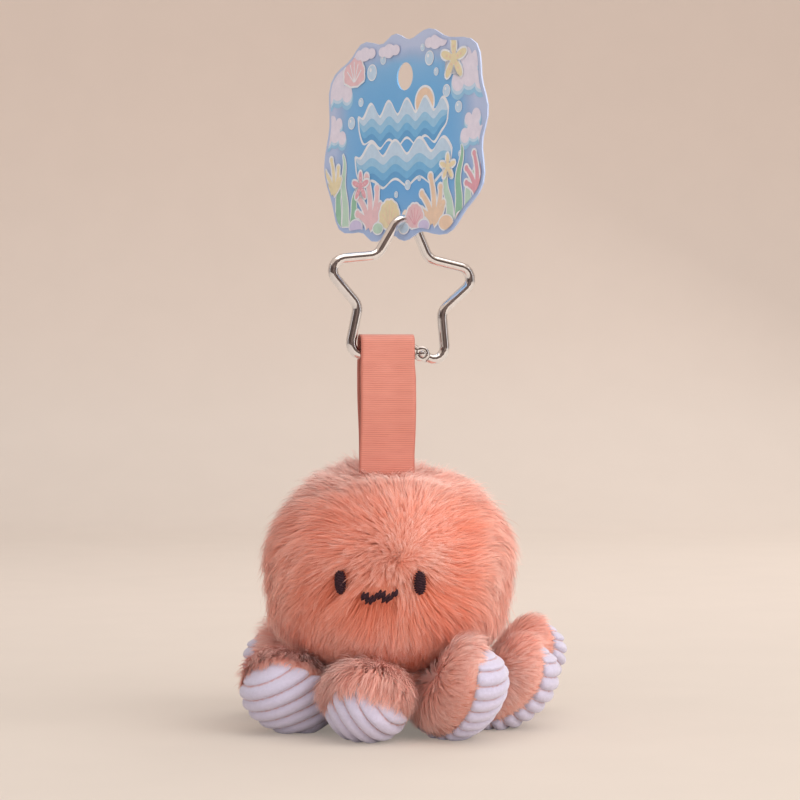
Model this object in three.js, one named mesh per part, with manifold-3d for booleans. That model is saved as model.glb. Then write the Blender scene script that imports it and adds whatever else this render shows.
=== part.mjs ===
// Plush bag charm: a hang tag, a star-shaped wire clip with a sprung gate, a folded ribbon and
// a stuffed eight-armed sea animal. Millimetres, +Z up, the animal's face towards -Y.
// The origin is the centre of the tag's peg hole, from which the whole charm hangs.
import * as THREE from 'three';
import { mergeVertices } from 'three/addons/utils/BufferGeometryUtils.js';
import Module from 'manifold-3d';

const wasm = await Module();
wasm.setup();
const { Manifold, Mesh: ManifoldMesh } = wasm;

// Fits
const GAP = 0.3;                   // clear space between pieces that touch or run on each other
const OVERRUN = 1;                 // how far a cut or a joined form runs past its face
const RADIANS = Math.PI / 180;

// Hang tag: a die-cut card
const TAG_WIDTH = 96;
const TAG_HEIGHT = 70;
const TAG_THICKNESS = 0.6;
const TAG_YAW = 55;                // degrees that the card is turned about the vertical
const TAG_SLANT = 0.05;            // sideways shift of the outline per height
const TAG_SQUARENESS = 3.4;        // exponent of the outline's superellipse
const TAG_WAVES = 12;              // bumps round the die-cut edge
const TAG_WAVE_DEPTH = 1.4;
const TAG_WAVE_DRIFT = 0.6;        // how unevenly the bumps are spaced, in radians of a bump
const PEG_HOLE_DIAMETER = 9.8;
const PEG_HOLE_FROM_TOP = 14;
const PEG_HOLE_SIDE_STEP = 1.5;    // right of the card's middle
const CLIP_HOLE_DIAMETER = 5.6;
const CLIP_HOLE_FROM_BOTTOM = 6.8;

// Star clip: round wire bent into a five-pointed star
const WIRE_DIAMETER = 3.6;
const STAR_POINTS = 5;
const STAR_CORNER_RADIUS = 31.2;   // star centre to the sharp corner that a point would have
const STAR_WAIST_RADIUS = 16;      // star centre to the sharp inner corner
const POINT_BEND_RADIUS = 4.2;     // on the wire's centreline
const WAIST_BEND_RADIUS = 5;
const STAR_LEAN = 3.5;             // degrees that the star leans clockwise, seen from the front
const STAR_YAW = 17;               // degrees that its right side stands back
const WIRE_SIDES = 12;
const POINT_STEPS = 6;
const WAIST_STEPS = 4;

// Gate: the bent bar between the star's two feet
const PIVOT_FROM_WAIST = 9.7;      // along the bar, from the waist's corner to the pivot
const KNUCKLE_RADIUS = 2.5;
const KNUCKLE_WIDTH = 3.5;
const TONGUE_THICKNESS = 1.1;
const TONGUE_RADIUS = 2.1;
const TONGUE_INSET = 0.6;          // the tongue's edges, in from the wire's
const PIN_DIAMETER = 1.5;
const PIN_HEAD_DIAMETER = 2.2;
const PIN_HEAD_HEIGHT = 0.35;
const PIN_CROWN_DIAMETER = 1.5;    // flat top of the domed head
const NOSE_FROM_WAIST = 9;         // along the other arm, from the waist's corner to the nose's end
const LAP_LENGTH = 2.2;            // overlap of the nose and the gate's lip
const BORE_DIAMETER = 2;
const SPRING_WIRE = 0.36;
const SPRING_DIAMETER = 1.5;
const SPRING_TURNS = 4;
const SPRING_LENGTH = 3.7;

// Ribbon: a folded satin band, both ends sewn into the crown
const RIBBON_WIDTH = 20;
const RIBBON_THICKNESS = 0.7;
const RIBBON_LENGTH = 47.6;        // outer fold to the crown's fold line
const RIBBON_EASE = 0.2;           // slack between each layer and the wire, beyond the gap
const RIBBON_STRAIGHT = 25;        // depth to which both layers run side by side
const RIBBON_TAPER = 8;            // handle length of the curve in which the layers close up
const RIBBON_SEAM = 2.5;           // height of the stitched end
const RIBBON_SIDE_STEP = 4.2;      // the ribbon's centre, left of the star's waist
const SEWN_END_DEPTH = 10;

// Head: furry cover, stuffing and base panel
const HEAD_RADIUS = 41.5;
const HEAD_RISE = 31;              // widest place to crown
const HEAD_DROP = 36;              // widest place to the base seam
const HEAD_DROP_AXIS = 38.6;       // widest place to the lower half's own pole, below the seam
const HEAD_FULLNESS = 3;           // exponent of the lower half's superellipse
const COVER_THICKNESS = 4.5;       // backing and pile
const HEAD_SIDE_STEP = 0.8;        // head's axis, right of the ribbon's centre
const FACE_TURN = 4;               // degrees that the face looks to the viewer's left
const HEAD_SEGMENTS = 24;
const HEAD_STEPS = 6;
const LINING_STEPS = 4;
const BASE_THICKNESS = 2.4;
const BASE_ROUNDING = 1.5;

// Face: embroidered eyes and mouth
const EYE_WIDTH = 3.8;
const EYE_HEIGHT = 8;
const EYE_SPACING = 26.2;
const EYE_BELOW_WIDEST = 3.8;
const EYE_CROWN = 0.62;            // size of an eye's raised top, as a share of its outline
const STITCH_HEIGHT = 1.3;
const MOUTH_WIDTH = 10.8;
const MOUTH_DEPTH = 2.3;
const MOUTH_BELOW_WIDEST = 7.8;
const MOUTH_THREAD = 1.7;
const MOUTH_STEPS = 20;

// Arms: furry sleeve above, ribbed pad below, wadding inside
const ARM_WIDTH = 29;
const ARM_RISE = 13;               // centreline to the furry back
const ARM_DROP = 13.5;             // centreline to the ribbed sole
const ARM_ROOT_WIDTH = 19;
const ARM_DESCENT = 42;            // degrees that the root points down
const ARM_BEND_RADIUS = 16.5;      // of the curl, on the centreline
const ARM_LEG = 5;                 // straight end of the centreline
const ARM_CAP = 12;                // length over which the end rounds off
const ARM_SWELL = 0.4;             // share of the length over which the arm swells and twists
const SKIN_THICKNESS = 3.6;        // of the sleeve and of the pad
const RIB_PITCH = 4.6;             // on the sole
const RIB_DEPTH = 1;
const SEAM_GAP = 0.6;              // between the sleeve's edge and the pad's
const SEAM_ANGLE = 12;             // degrees that the sleeve reaches below mid height
const GROUND_CLEARANCE = 18.3;     // base panel to the ground
const FOOT_FLAT = 0.5;             // depth of the flat that an arm rests on
const LINING_STATIONS = 7;
const ARM_SIDES = 8;
const SKIN_STEPS = 6;

// Each arm: where it points, how far its end curls up, leans sideways and twists, in degrees,
// and how much wider its bend is
const ARMS = [
  { azimuth: -149, curl: 62, lean: 0, twist: 45, reach: -2 },
  { azimuth: -107, curl: 58, lean: 42, twist: 0, reach: 0 },
  { azimuth: -58, curl: 82, lean: 0, twist: 56, reach: 0 },
  { azimuth: -13, curl: 82, lean: 0, twist: 33, reach: -2 },
  { azimuth: 27, curl: 78, lean: 0, twist: 0, reach: 4 },
  { azimuth: 68, curl: 56, lean: 6, twist: 6, reach: 0 },
  { azimuth: 108, curl: 62, lean: -6, twist: 0, reach: 0 },
  { azimuth: 146, curl: 84, lean: 0, twist: 8, reach: -2 },
];

// Colours and finishes
const CARD = { color: 0x9cc4ea, roughness: 0.45, metalness: 0 };
const CHROME = { color: 0xcfcfd4, roughness: 0.12, metalness: 1 };
const SPRING_STEEL = { color: 0x8e8e94, roughness: 0.35, metalness: 1 };
const SATIN = { color: 0xf0a184, roughness: 0.45, metalness: 0 };
const FUR = { color: 0xf19b80, roughness: 0.95, metalness: 0 };
const CORDUROY = { color: 0xf4f0f2, roughness: 0.9, metalness: 0 };
const WADDING = { color: 0xf8f6f0, roughness: 1, metalness: 0 };
const THREAD = { color: 0x3a211d, roughness: 0.7, metalness: 0 };

// Geometry helpers

function signedVolume(geometry) {
  const { position } = geometry.attributes;
  const index = geometry.index.array;
  const a = new THREE.Vector3();
  const b = new THREE.Vector3();
  const c = new THREE.Vector3();
  let volume = 0;
  for (let i = 0; i < index.length; i += 3) {
    a.fromBufferAttribute(position, index[i]);
    b.fromBufferAttribute(position, index[i + 1]);
    c.fromBufferAttribute(position, index[i + 2]);
    volume += a.dot(b.cross(c)) / 6;
  }
  return volume;
}

// One welded geometry with no empty triangles and its faces outwards.
function weld(geometry) {
  const bare = geometry.clone();
  bare.deleteAttribute('normal');
  bare.deleteAttribute('uv');
  const merged = mergeVertices(bare, 1e-4);
  const old = merged.index.array;
  const index = [];
  for (let i = 0; i < old.length; i += 3) {
    const [a, b, c] = [old[i], old[i + 1], old[i + 2]];
    if (a !== b && b !== c && c !== a) index.push(a, b, c);
  }
  merged.setIndex(index);
  if (signedVolume(merged) < 0) {
    for (let i = 0; i < index.length; i += 3) {
      [index[i + 1], index[i + 2]] = [index[i + 2], index[i + 1]];
    }
    merged.setIndex(index);
  }
  return merged;
}

function solid(geometry) {
  const welded = weld(geometry);
  return new Manifold(new ManifoldMesh({
    numProp: 3,
    vertProperties: new Float32Array(welded.attributes.position.array),
    triVerts: new Uint32Array(welded.index.array),
  }));
}

function geometryOf(manifold) {
  const mesh = manifold.getMesh();
  const geometry = new THREE.BufferGeometry();
  geometry.setAttribute('position', new THREE.BufferAttribute(mesh.vertProperties, 3));
  geometry.setIndex(new THREE.BufferAttribute(mesh.triVerts, 1));
  return geometry;
}

// A skin over closed loops of equally many points. A cap is a fan over a convex loop, a strip
// over a loop that goes out along one side and back along the other, or nothing at a pole.
function loft(loops, startCap = 'fan', endCap = 'fan') {
  const count = loops[0].length;
  const points = loops.flat();
  const index = [];
  for (let i = 0; i + 1 < loops.length; i++) {
    for (let j = 0; j < count; j++) {
      const [a, b] = [i * count + j, i * count + ((j + 1) % count)];
      index.push(a, b, b + count, a, b + count, a + count);
    }
  }
  const cap = (start, kind, flip) => {
    const add = (a, b, c) => index.push(start + a, start + (flip ? c : b), start + (flip ? b : c));
    if (kind === 'fan') {
      for (let j = 1; j + 1 < count; j++) add(0, j + 1, j);
    }
    if (kind === 'strip') {
      for (let j = 0; j + 1 < count / 2; j++) {
        add(j, count - 2 - j, j + 1);
        add(j, count - 1 - j, count - 2 - j);
      }
    }
  };
  cap(0, startCap, false);
  cap((loops.length - 1) * count, endCap, true);
  const numbers = points.flatMap((point) => point.toArray());
  const geometry = new THREE.BufferGeometry();
  geometry.setAttribute('position', new THREE.Float32BufferAttribute(numbers, 3));
  geometry.setIndex(index);
  return weld(geometry);
}

// A cylinder about the local Y axis, at a place in the XZ plane.
function crossCylinder(radius, length, place, segments = 24) {
  const geometry = new THREE.CylinderGeometry(radius, radius, length, segments);
  return geometry.translate(place.x, 0, place.z);
}

function place(name, geometry, look) {
  const mesh = new THREE.Mesh(geometry, new THREE.MeshStandardMaterial(look));
  mesh.name = name;
  return mesh;
}

// Hang tag, drawn flat in its own XZ plane with the peg hole at the origin

const holeSpacing = TAG_HEIGHT - PEG_HOLE_FROM_TOP - CLIP_HOLE_FROM_BOTTOM;

function tagEdge(angle) {
  const [c, s] = [Math.cos(angle), Math.sin(angle)];
  const power = TAG_SQUARENESS;
  const wave = TAG_WAVE_DEPTH * Math.sin(TAG_WAVES * angle + TAG_WAVE_DRIFT * Math.sin(3 * angle));
  const halfWidth = TAG_WIDTH / 2 + wave;
  const halfHeight = TAG_HEIGHT / 2 + wave;
  const reach = (Math.abs(c / halfWidth) ** power + Math.abs(s / halfHeight) ** power) ** (-1 / power);
  return new THREE.Vector2(
    reach * (c + TAG_SLANT * s) - PEG_HOLE_SIDE_STEP,
    reach * s + PEG_HOLE_FROM_TOP - TAG_HEIGHT / 2,
  );
}

function tagGeometry() {
  const steps = TAG_WAVES * 7;
  const outline = [];
  for (let i = 0; i < steps; i++) outline.push(tagEdge((2 * Math.PI * i) / steps));
  const shape = new THREE.Shape(outline);
  const pegHole = new THREE.Path().absarc(0, 0, PEG_HOLE_DIAMETER / 2, 0, 2 * Math.PI, true);
  const clipHole = new THREE.Path().absarc(0, -holeSpacing, CLIP_HOLE_DIAMETER / 2, 0, 2 * Math.PI, true);
  shape.holes.push(pegHole, clipHole);
  const geometry = new THREE.ExtrudeGeometry(shape, {
    depth: TAG_THICKNESS,
    bevelEnabled: false,
    curveSegments: 14,
  });
  return geometry.translate(0, 0, -TAG_THICKNESS / 2).rotateX(Math.PI / 2);
}

// Star wire, in its own XZ plane with the star's centre at the origin

const wireRadius = WIRE_DIAMETER / 2;

// Corner number n, counted clockwise from the top point: even ones are points, odd ones waists.
function starCorner(n) {
  const angle = (90 - STAR_LEAN - (n * 180) / STAR_POINTS) * RADIANS;
  const radius = n % 2 ? STAR_WAIST_RADIUS : STAR_CORNER_RADIUS;
  return new THREE.Vector3(radius * Math.cos(angle), 0, radius * Math.sin(angle));
}

// Corner n with the edge direction before it, half the angle there, the way in and its bend.
function cornerShape(n) {
  const corner = starCorner(n);
  const before = starCorner(n - 1).sub(corner).normalize();
  const after = starCorner(n + 1).sub(corner).normalize();
  const half = before.angleTo(after) / 2;
  const inward = before.clone().add(after).normalize();
  const [radius, steps] = n % 2 ? [WAIST_BEND_RADIUS, WAIST_STEPS] : [POINT_BEND_RADIUS, POINT_STEPS];
  return { corner, before, half, inward, radius, steps };
}

// The middle of the bend at corner n.
function bendMiddle(n) {
  const { corner, half, inward, radius } = cornerShape(n);
  return corner.addScaledVector(inward, radius / Math.sin(half) - radius);
}

// Stations of the centreline round corner n, from the edge before it to the edge after it.
function bend(n) {
  const { corner, before, half, inward, radius, steps } = cornerShape(n);
  const centre = corner.clone().addScaledVector(inward, radius / Math.sin(half));
  const from = corner.clone().addScaledVector(before, radius / Math.tan(half)).sub(centre);
  const turn = new THREE.Vector3().crossVectors(before, from).normalize();
  const stations = [];
  for (let i = 0; i <= steps; i++) {
    const swing = ((Math.PI - 2 * half) * i) / steps;
    const spoke = from.clone().applyAxisAngle(turn, swing);
    stations.push({ at: centre.clone().add(spoke), along: turn.clone().cross(spoke).normalize() });
  }
  return stations;
}

// A place on the straight edge from corner a towards corner b.
function onEdge(a, b, distance) {
  const along = starCorner(b).sub(starCorner(a)).normalize();
  return { at: starCorner(a).addScaledVector(along, distance), along };
}

function wireAlong(stations) {
  const across = new THREE.Vector3(0, 1, 0);
  return loft(stations.map(({ at, along }) => {
    const side = new THREE.Vector3().crossVectors(along, across);
    const ring = [];
    for (let j = 0; j < WIRE_SIDES; j++) {
      const angle = (2 * Math.PI * (j + 0.5)) / WIRE_SIDES;
      ring.push(at.clone()
        .addScaledVector(side, wireRadius * Math.cos(angle))
        .addScaledVector(across, wireRadius * Math.sin(angle)));
    }
    return ring;
  }));
}

const WAIST = 5;                   // the corner between the star's feet
const RIGHT_FOOT = 4;
const LEFT_FOOT = 6;
const pivot = onEdge(WAIST, RIGHT_FOOT, PIVOT_FROM_WAIST);
const shoulderFromWaist = PIVOT_FROM_WAIST + KNUCKLE_RADIUS + GAP;
const noseBaseFromWaist = NOSE_FROM_WAIST + LAP_LENGTH;

// A box in the star's plane that runs along one arm of the bar, from and to given distances.
function barBox(foot, from, to, low, high, width) {
  const { along } = onEdge(WAIST, foot, 0);
  const middle = onEdge(WAIST, foot, (from + to) / 2).at;
  const geometry = new THREE.BoxGeometry(to - from, width, high - low);
  geometry.translate(0, 0, (low + high) / 2);
  const tilt = Math.atan2(along.z, along.x);
  const upright = Math.abs(tilt) > Math.PI / 2 ? tilt + Math.PI : tilt;
  return geometry.rotateY(-upright).translate(middle.x, 0, middle.z);
}

function starBody() {
  const stations = [onEdge(WAIST, RIGHT_FOOT, shoulderFromWaist)];
  for (let n = RIGHT_FOOT; n >= LEFT_FOOT - 2 * STAR_POINTS; n--) {
    const corner = bend(n);
    stations.push(...corner.reverse().map(({ at, along }) => ({ at, along: along.negate() })));
  }
  const nose = onEdge(WAIST, LEFT_FOOT, NOSE_FROM_WAIST);
  stations.push({ at: nose.at, along: nose.along.negate() });
  const lapCut = barBox(LEFT_FOOT, NOSE_FROM_WAIST - OVERRUN, noseBaseFromWaist,
    0, WIRE_DIAMETER, 2 * WIRE_DIAMETER);
  const tongueEnd = crossCylinder(TONGUE_RADIUS, TONGUE_THICKNESS, pivot.at);
  const tongue = barBox(RIGHT_FOOT, PIVOT_FROM_WAIST, shoulderFromWaist + OVERRUN,
    TONGUE_INSET - wireRadius, wireRadius - TONGUE_INSET, TONGUE_THICKNESS);
  const pinHole = crossCylinder(PIN_DIAMETER / 2 + GAP, WIRE_DIAMETER, pivot.at, 16);
  return geometryOf(solid(wireAlong(stations))
    .subtract(solid(lapCut))
    .add(solid(tongue))
    .add(solid(tongueEnd))
    .subtract(solid(pinHole)));
}

function gateGeometry() {
  const stations = [
    onEdge(WAIST, LEFT_FOOT, noseBaseFromWaist - GAP),
    ...bend(WAIST).reverse(),
    onEdge(WAIST, RIGHT_FOOT, PIVOT_FROM_WAIST),
  ];
  const last = stations.length - 1;
  stations.forEach((station, i) => {
    if (i < last) station.along.negate();
  });
  const lapCut = barBox(LEFT_FOOT, NOSE_FROM_WAIST - GAP, noseBaseFromWaist + OVERRUN,
    -WIRE_DIAMETER, GAP, 2 * WIRE_DIAMETER);
  const knuckle = crossCylinder(KNUCKLE_RADIUS, KNUCKLE_WIDTH, pivot.at);
  const slotEnd = PIVOT_FROM_WAIST - TONGUE_RADIUS - GAP;
  const slot = barBox(RIGHT_FOOT, slotEnd, shoulderFromWaist + OVERRUN, -WIRE_DIAMETER, WIRE_DIAMETER,
    TONGUE_THICKNESS + 2 * GAP);
  const pinHole = crossCylinder(PIN_DIAMETER / 2 + GAP, 2 * WIRE_DIAMETER, pivot.at, 16);
  const boreLength = SPRING_LENGTH + 2 * GAP;
  const boreRadius = BORE_DIAMETER / 2;
  const bore = new THREE.CylinderGeometry(boreRadius, boreRadius, boreLength + OVERRUN, 12);
  bore.rotateZ(-Math.PI / 2).rotateY(-Math.atan2(pivot.along.z, pivot.along.x));
  const boreMiddle = onEdge(WAIST, RIGHT_FOOT, slotEnd + (OVERRUN - boreLength) / 2).at;
  bore.translate(boreMiddle.x, 0, boreMiddle.z);
  return geometryOf(solid(wireAlong(stations))
    .subtract(solid(lapCut))
    .add(solid(knuckle))
    .subtract(solid(slot))
    .subtract(solid(pinHole))
    .subtract(solid(bore)));
}

function pinGeometry() {
  const half = KNUCKLE_WIDTH / 2 + GAP;
  const profile = [
    [0, -half - PIN_HEAD_HEIGHT],
    [PIN_CROWN_DIAMETER / 2, -half - PIN_HEAD_HEIGHT],
    [PIN_HEAD_DIAMETER / 2, -half],
    [PIN_DIAMETER / 2, -half],
    [PIN_DIAMETER / 2, half],
    [PIN_HEAD_DIAMETER / 2, half],
    [PIN_CROWN_DIAMETER / 2, half + PIN_HEAD_HEIGHT],
    [0, half + PIN_HEAD_HEIGHT],
  ].map(([x, y]) => new THREE.Vector2(x, y));
  return weld(new THREE.LatheGeometry(profile, 16)).translate(pivot.at.x, 0, pivot.at.z);
}

// The closing spring, in the gate's bore, bears on the tongue's round end.
function springGeometry() {
  const coilRadius = (SPRING_DIAMETER - SPRING_WIRE) / 2;
  const from = onEdge(WAIST, RIGHT_FOOT, PIVOT_FROM_WAIST - TONGUE_RADIUS - GAP / 2);
  const axis = from.along.clone().negate();
  const side = new THREE.Vector3(0, 1, 0);
  const up = new THREE.Vector3().crossVectors(axis, side);
  const climb = SPRING_LENGTH - SPRING_WIRE;
  const steps = SPRING_TURNS * 8;
  const loops = [];
  for (let i = 0; i <= steps; i++) {
    const turn = (2 * Math.PI * SPRING_TURNS * i) / steps;
    const spoke = side.clone().multiplyScalar(Math.cos(turn)).addScaledVector(up, Math.sin(turn));
    const centre = from.at.clone()
      .addScaledVector(axis, SPRING_WIRE / 2 + (climb * i) / steps)
      .addScaledVector(spoke, coilRadius);
    const loop = [];
    for (let j = 0; j < 5; j++) {
      const angle = (2 * Math.PI * j) / 5;
      loop.push(centre.clone()
        .addScaledVector(spoke, (SPRING_WIRE / 2) * Math.cos(angle))
        .addScaledVector(axis, (SPRING_WIRE / 2) * Math.sin(angle)));
    }
    loops.push(loop);
  }
  return loft(loops);
}

// Ribbon, in the star's frame: its width along X, its layers either side of the star's plane

const saddle = bendMiddle(WAIST);
const ribbonX = saddle.x - RIBBON_SIDE_STEP;
const foldInside = wireRadius + GAP + RIBBON_EASE;    // half of the clear width between the layers
const foldCentre = saddle.z + wireRadius + GAP - foldInside;
const foldTop = foldCentre + foldInside + RIBBON_THICKNESS;
const ribbonFoot = foldTop - RIBBON_LENGTH;

function ribbonGeometry() {
  const outside = foldInside + RIBBON_THICKNESS;
  const knee = foldTop - RIBBON_STRAIGHT;
  const seamTop = ribbonFoot + RIBBON_SEAM;
  const fork = seamTop + RIBBON_THICKNESS;
  const [upper, lower] = [knee - RIBBON_TAPER, seamTop + RIBBON_TAPER];
  const shape = new THREE.Shape();
  shape.moveTo(outside, knee);
  shape.lineTo(outside, foldCentre);
  shape.absarc(0, foldCentre, outside, 0, Math.PI, false);
  shape.lineTo(-outside, knee);
  shape.bezierCurveTo(-outside, upper, -RIBBON_THICKNESS, lower, -RIBBON_THICKNESS, seamTop);
  shape.lineTo(-RIBBON_THICKNESS, ribbonFoot);
  shape.absarc(0, ribbonFoot, RIBBON_THICKNESS, Math.PI, 2 * Math.PI, false);
  shape.lineTo(RIBBON_THICKNESS, seamTop);
  shape.bezierCurveTo(RIBBON_THICKNESS, lower, outside, upper, outside, knee);
  const inside = new THREE.Path();
  inside.moveTo(foldInside, knee);
  inside.lineTo(foldInside, foldCentre);
  inside.absarc(0, foldCentre, foldInside, 0, Math.PI, false);
  inside.lineTo(-foldInside, knee);
  inside.bezierCurveTo(-foldInside, upper, 0, lower + RIBBON_THICKNESS, 0, fork);
  inside.bezierCurveTo(0, lower + RIBBON_THICKNESS, foldInside, upper, foldInside, knee);
  shape.holes.push(inside);
  const geometry = new THREE.ExtrudeGeometry(shape, {
    depth: RIBBON_WIDTH,
    bevelEnabled: false,
    curveSegments: 7,
  });
  // The outline's X is the star's Y, its Y is up, and it is drawn out along X.
  const turned = new THREE.Matrix4().makeBasis(
    new THREE.Vector3(0, 1, 0),
    new THREE.Vector3(0, 0, 1),
    new THREE.Vector3(1, 0, 0),
  );
  return weld(geometry.applyMatrix4(turned).translate(ribbonX - RIBBON_WIDTH / 2, 0, 0));
}

// Head, in its own frame: the axis vertical and the origin at the widest place

const crownLift = RIBBON_THICKNESS + GAP;

// The half-axis and the exponent of the head's outline above or below its widest place.
function headCurve(height) {
  return height > 0 ? { axis: HEAD_RISE, power: 2 } : { axis: HEAD_DROP_AXIS, power: HEAD_FULLNESS };
}

function headRadius(height) {
  const { axis, power } = headCurve(height);
  return HEAD_RADIUS * Math.max(0, 1 - (Math.abs(height) / axis) ** power) ** (1 / power);
}

// The head's outline from the crown down to a cut, set in by an amount at the side and the crown.
function headProfile(inset, cut, steps) {
  const points = [];
  const radius = HEAD_RADIUS - inset;
  for (let i = 0; i < steps; i++) {
    const angle = (Math.PI / 2) * (1 - i / steps);
    points.push(new THREE.Vector2(radius * Math.cos(angle), (HEAD_RISE - inset) * Math.sin(angle)));
  }
  const low = Math.asin((cut / HEAD_DROP_AXIS) ** (HEAD_FULLNESS / 2));
  for (let i = 0; i <= steps; i++) {
    const angle = (low * i) / steps;
    points.push(new THREE.Vector2(
      radius * Math.cos(angle) ** (2 / HEAD_FULLNESS),
      -HEAD_DROP_AXIS * Math.sin(angle) ** (2 / HEAD_FULLNESS),
    ));
  }
  points[0].x = 0;
  return points;
}

function revolved(profile) {
  return weld(new THREE.LatheGeometry(profile, HEAD_SEGMENTS).rotateX(Math.PI / 2));
}

function headSolid(inset, cut, steps) {
  return solid(revolved([...headProfile(inset, cut, steps), new THREE.Vector2(0, -cut)]));
}

// The slit through which the ribbon's sewn ends enter the crown.
function crownSlit(clearance) {
  const box = new THREE.BoxGeometry(
    RIBBON_WIDTH + 2 * clearance,
    2 * (RIBBON_THICKNESS + clearance),
    SEWN_END_DEPTH + 2 * clearance + crownLift,
  );
  return box.translate(0, 0, -SEWN_END_DEPTH / 2 + crownLift / 2);
}

// Where the slit lies in the head's frame, turned as the ribbon is.
function atCrown(geometry) {
  const turn = (STAR_YAW + FACE_TURN) * RADIANS;
  return geometry.translate(-HEAD_SIDE_STEP, 0, 0).rotateZ(turn).translate(0, 0, HEAD_RISE);
}

function coverGeometry() {
  const outer = headProfile(0, HEAD_DROP, HEAD_STEPS);
  const inner = headProfile(COVER_THICKNESS, HEAD_DROP, LINING_STEPS).reverse();
  return geometryOf(solid(revolved([...outer, ...inner])).subtract(solid(atCrown(crownSlit(GAP)))));
}

function stuffingGeometry() {
  const body = headSolid(COVER_THICKNESS + 2 * GAP, HEAD_DROP, LINING_STEPS);
  return geometryOf(body.subtract(solid(atCrown(crownSlit(2 * GAP)))));
}

function sewnEndGeometry() {
  const depth = SEWN_END_DEPTH - GAP;
  const box = new THREE.BoxGeometry(RIBBON_WIDTH, 2 * RIBBON_THICKNESS, depth);
  return atCrown(box.translate(0, 0, -depth / 2 - GAP));
}

function baseGeometry(clearance) {
  const radius = headRadius(-HEAD_DROP) + clearance;
  const top = clearance - HEAD_DROP - GAP;
  const bottom = top - BASE_THICKNESS - 2 * clearance;
  return revolved([
    new THREE.Vector2(0, top),
    new THREE.Vector2(radius, top),
    new THREE.Vector2(radius, bottom + BASE_ROUNDING / 2),
    new THREE.Vector2(radius - BASE_ROUNDING, bottom),
    new THREE.Vector2(0, bottom),
  ]);
}

// The direction straight out of the head's front, given by its side step and height.
function faceNormal(x, z) {
  const { axis, power } = headCurve(z);
  const radius = headRadius(z);
  const y = -Math.sqrt(radius * radius - x * x);
  const spread = radius ** (power - 2) / HEAD_RADIUS ** power;
  const climb = (Math.sign(z) * Math.abs(z) ** (power - 1)) / axis ** power;
  return new THREE.Vector3(x * spread, y * spread, climb).normalize();
}

// A place on the head's front, lifted off the surface.
function onFace(x, z, lift) {
  const radius = headRadius(z);
  return new THREE.Vector3(x, -Math.sqrt(radius * radius - x * x), z)
    .addScaledVector(faceNormal(x, z), lift);
}

function eyeGeometry(side) {
  const [x, z] = [(side * EYE_SPACING) / 2, -EYE_BELOW_WIDEST];
  const ring = (scale, lift) => {
    const loop = [];
    for (let j = 0; j < 14; j++) {
      const angle = (2 * Math.PI * j) / 14;
      loop.push(onFace(
        x + (EYE_WIDTH / 2) * scale * Math.cos(angle),
        z + (EYE_HEIGHT / 2) * scale * Math.sin(angle),
        lift,
      ));
    }
    return loop;
  };
  return loft([
    ring(1, GAP),
    ring(1, GAP + STITCH_HEIGHT / 2),
    ring(EYE_CROWN, GAP + STITCH_HEIGHT),
  ]);
}

// The mouth: a thread bead along a shallow double curve, thinner at both ends.
function mouthGeometry() {
  const path = [];
  for (let i = 0; i <= MOUTH_STEPS; i++) {
    const share = (2 * i) / MOUTH_STEPS - 1;
    const x = (MOUTH_WIDTH / 2) * share;
    const z = (MOUTH_DEPTH / 2) * Math.cos(2 * Math.PI * share) - MOUTH_BELOW_WIDEST;
    const radius = (MOUTH_THREAD / 4) * (1 + Math.sqrt(1 - share ** 4));
    path.push({ at: onFace(x, z, GAP + MOUTH_THREAD / 2), out: faceNormal(x, z), radius });
  }
  return loft(path.map(({ at, out, radius }, i) => {
    const ahead = path[Math.min(i + 1, MOUTH_STEPS)].at;
    const behind = path[Math.max(i - 1, 0)].at;
    const across = ahead.clone().sub(behind).cross(out).normalize();
    const loop = [];
    for (let j = 0; j < 6; j++) {
      const angle = (2 * Math.PI * j) / 6;
      loop.push(at.clone()
        .addScaledVector(out, radius * Math.cos(angle))
        .addScaledVector(across, radius * Math.sin(angle)));
    }
    return loop;
  }));
}

// Arms, in the head's frame

const groundZ = -HEAD_DROP - GAP - BASE_THICKNESS - GROUND_CLEARANCE;

// An arm's centreline: it leaves the base seam outwards and down, bends up and ends straight.
function armPath(arm, lift) {
  const azimuth = (arm.azimuth + FACE_TURN) * RADIANS;
  const out = new THREE.Vector3(Math.cos(azimuth), Math.sin(azimuth), 0);
  const side = new THREE.Vector3(-out.y, out.x, 0);
  const [descent, curl, lean] = [ARM_DESCENT * RADIANS, arm.curl * RADIANS, arm.lean * RADIANS];
  const start = out.clone().multiplyScalar(Math.cos(descent)).setZ(-Math.sin(descent));
  const end = out.clone().multiplyScalar(Math.cos(curl))
    .addScaledVector(side, Math.sin(curl) * Math.sin(lean))
    .setZ(Math.sin(curl) * Math.cos(lean));
  const root = out.clone().multiplyScalar(headRadius(-HEAD_DROP) + GAP).setZ(lift - HEAD_DROP);
  const turn = start.angleTo(end);
  const inward = end.addScaledVector(start, -Math.cos(turn)).normalize();
  const radius = ARM_BEND_RADIUS + arm.reach;
  const twist = arm.twist * RADIANS;
  return { root, start, inward, side, turn, radius, twist, length: radius * turn + ARM_LEG };
}

// The centreline's place and direction at a share of its length.
function alongArm(path, share) {
  const distance = share * path.length;
  const angle = Math.min(path.turn, distance / path.radius);
  const along = path.start.clone().multiplyScalar(Math.cos(angle))
    .addScaledVector(path.inward, Math.sin(angle));
  const centre = path.root.clone()
    .addScaledVector(path.start, path.radius * Math.sin(angle))
    .addScaledVector(path.inward, path.radius * (1 - Math.cos(angle)))
    .addScaledVector(along, distance - angle * path.radius);
  return { along, centre };
}

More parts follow.
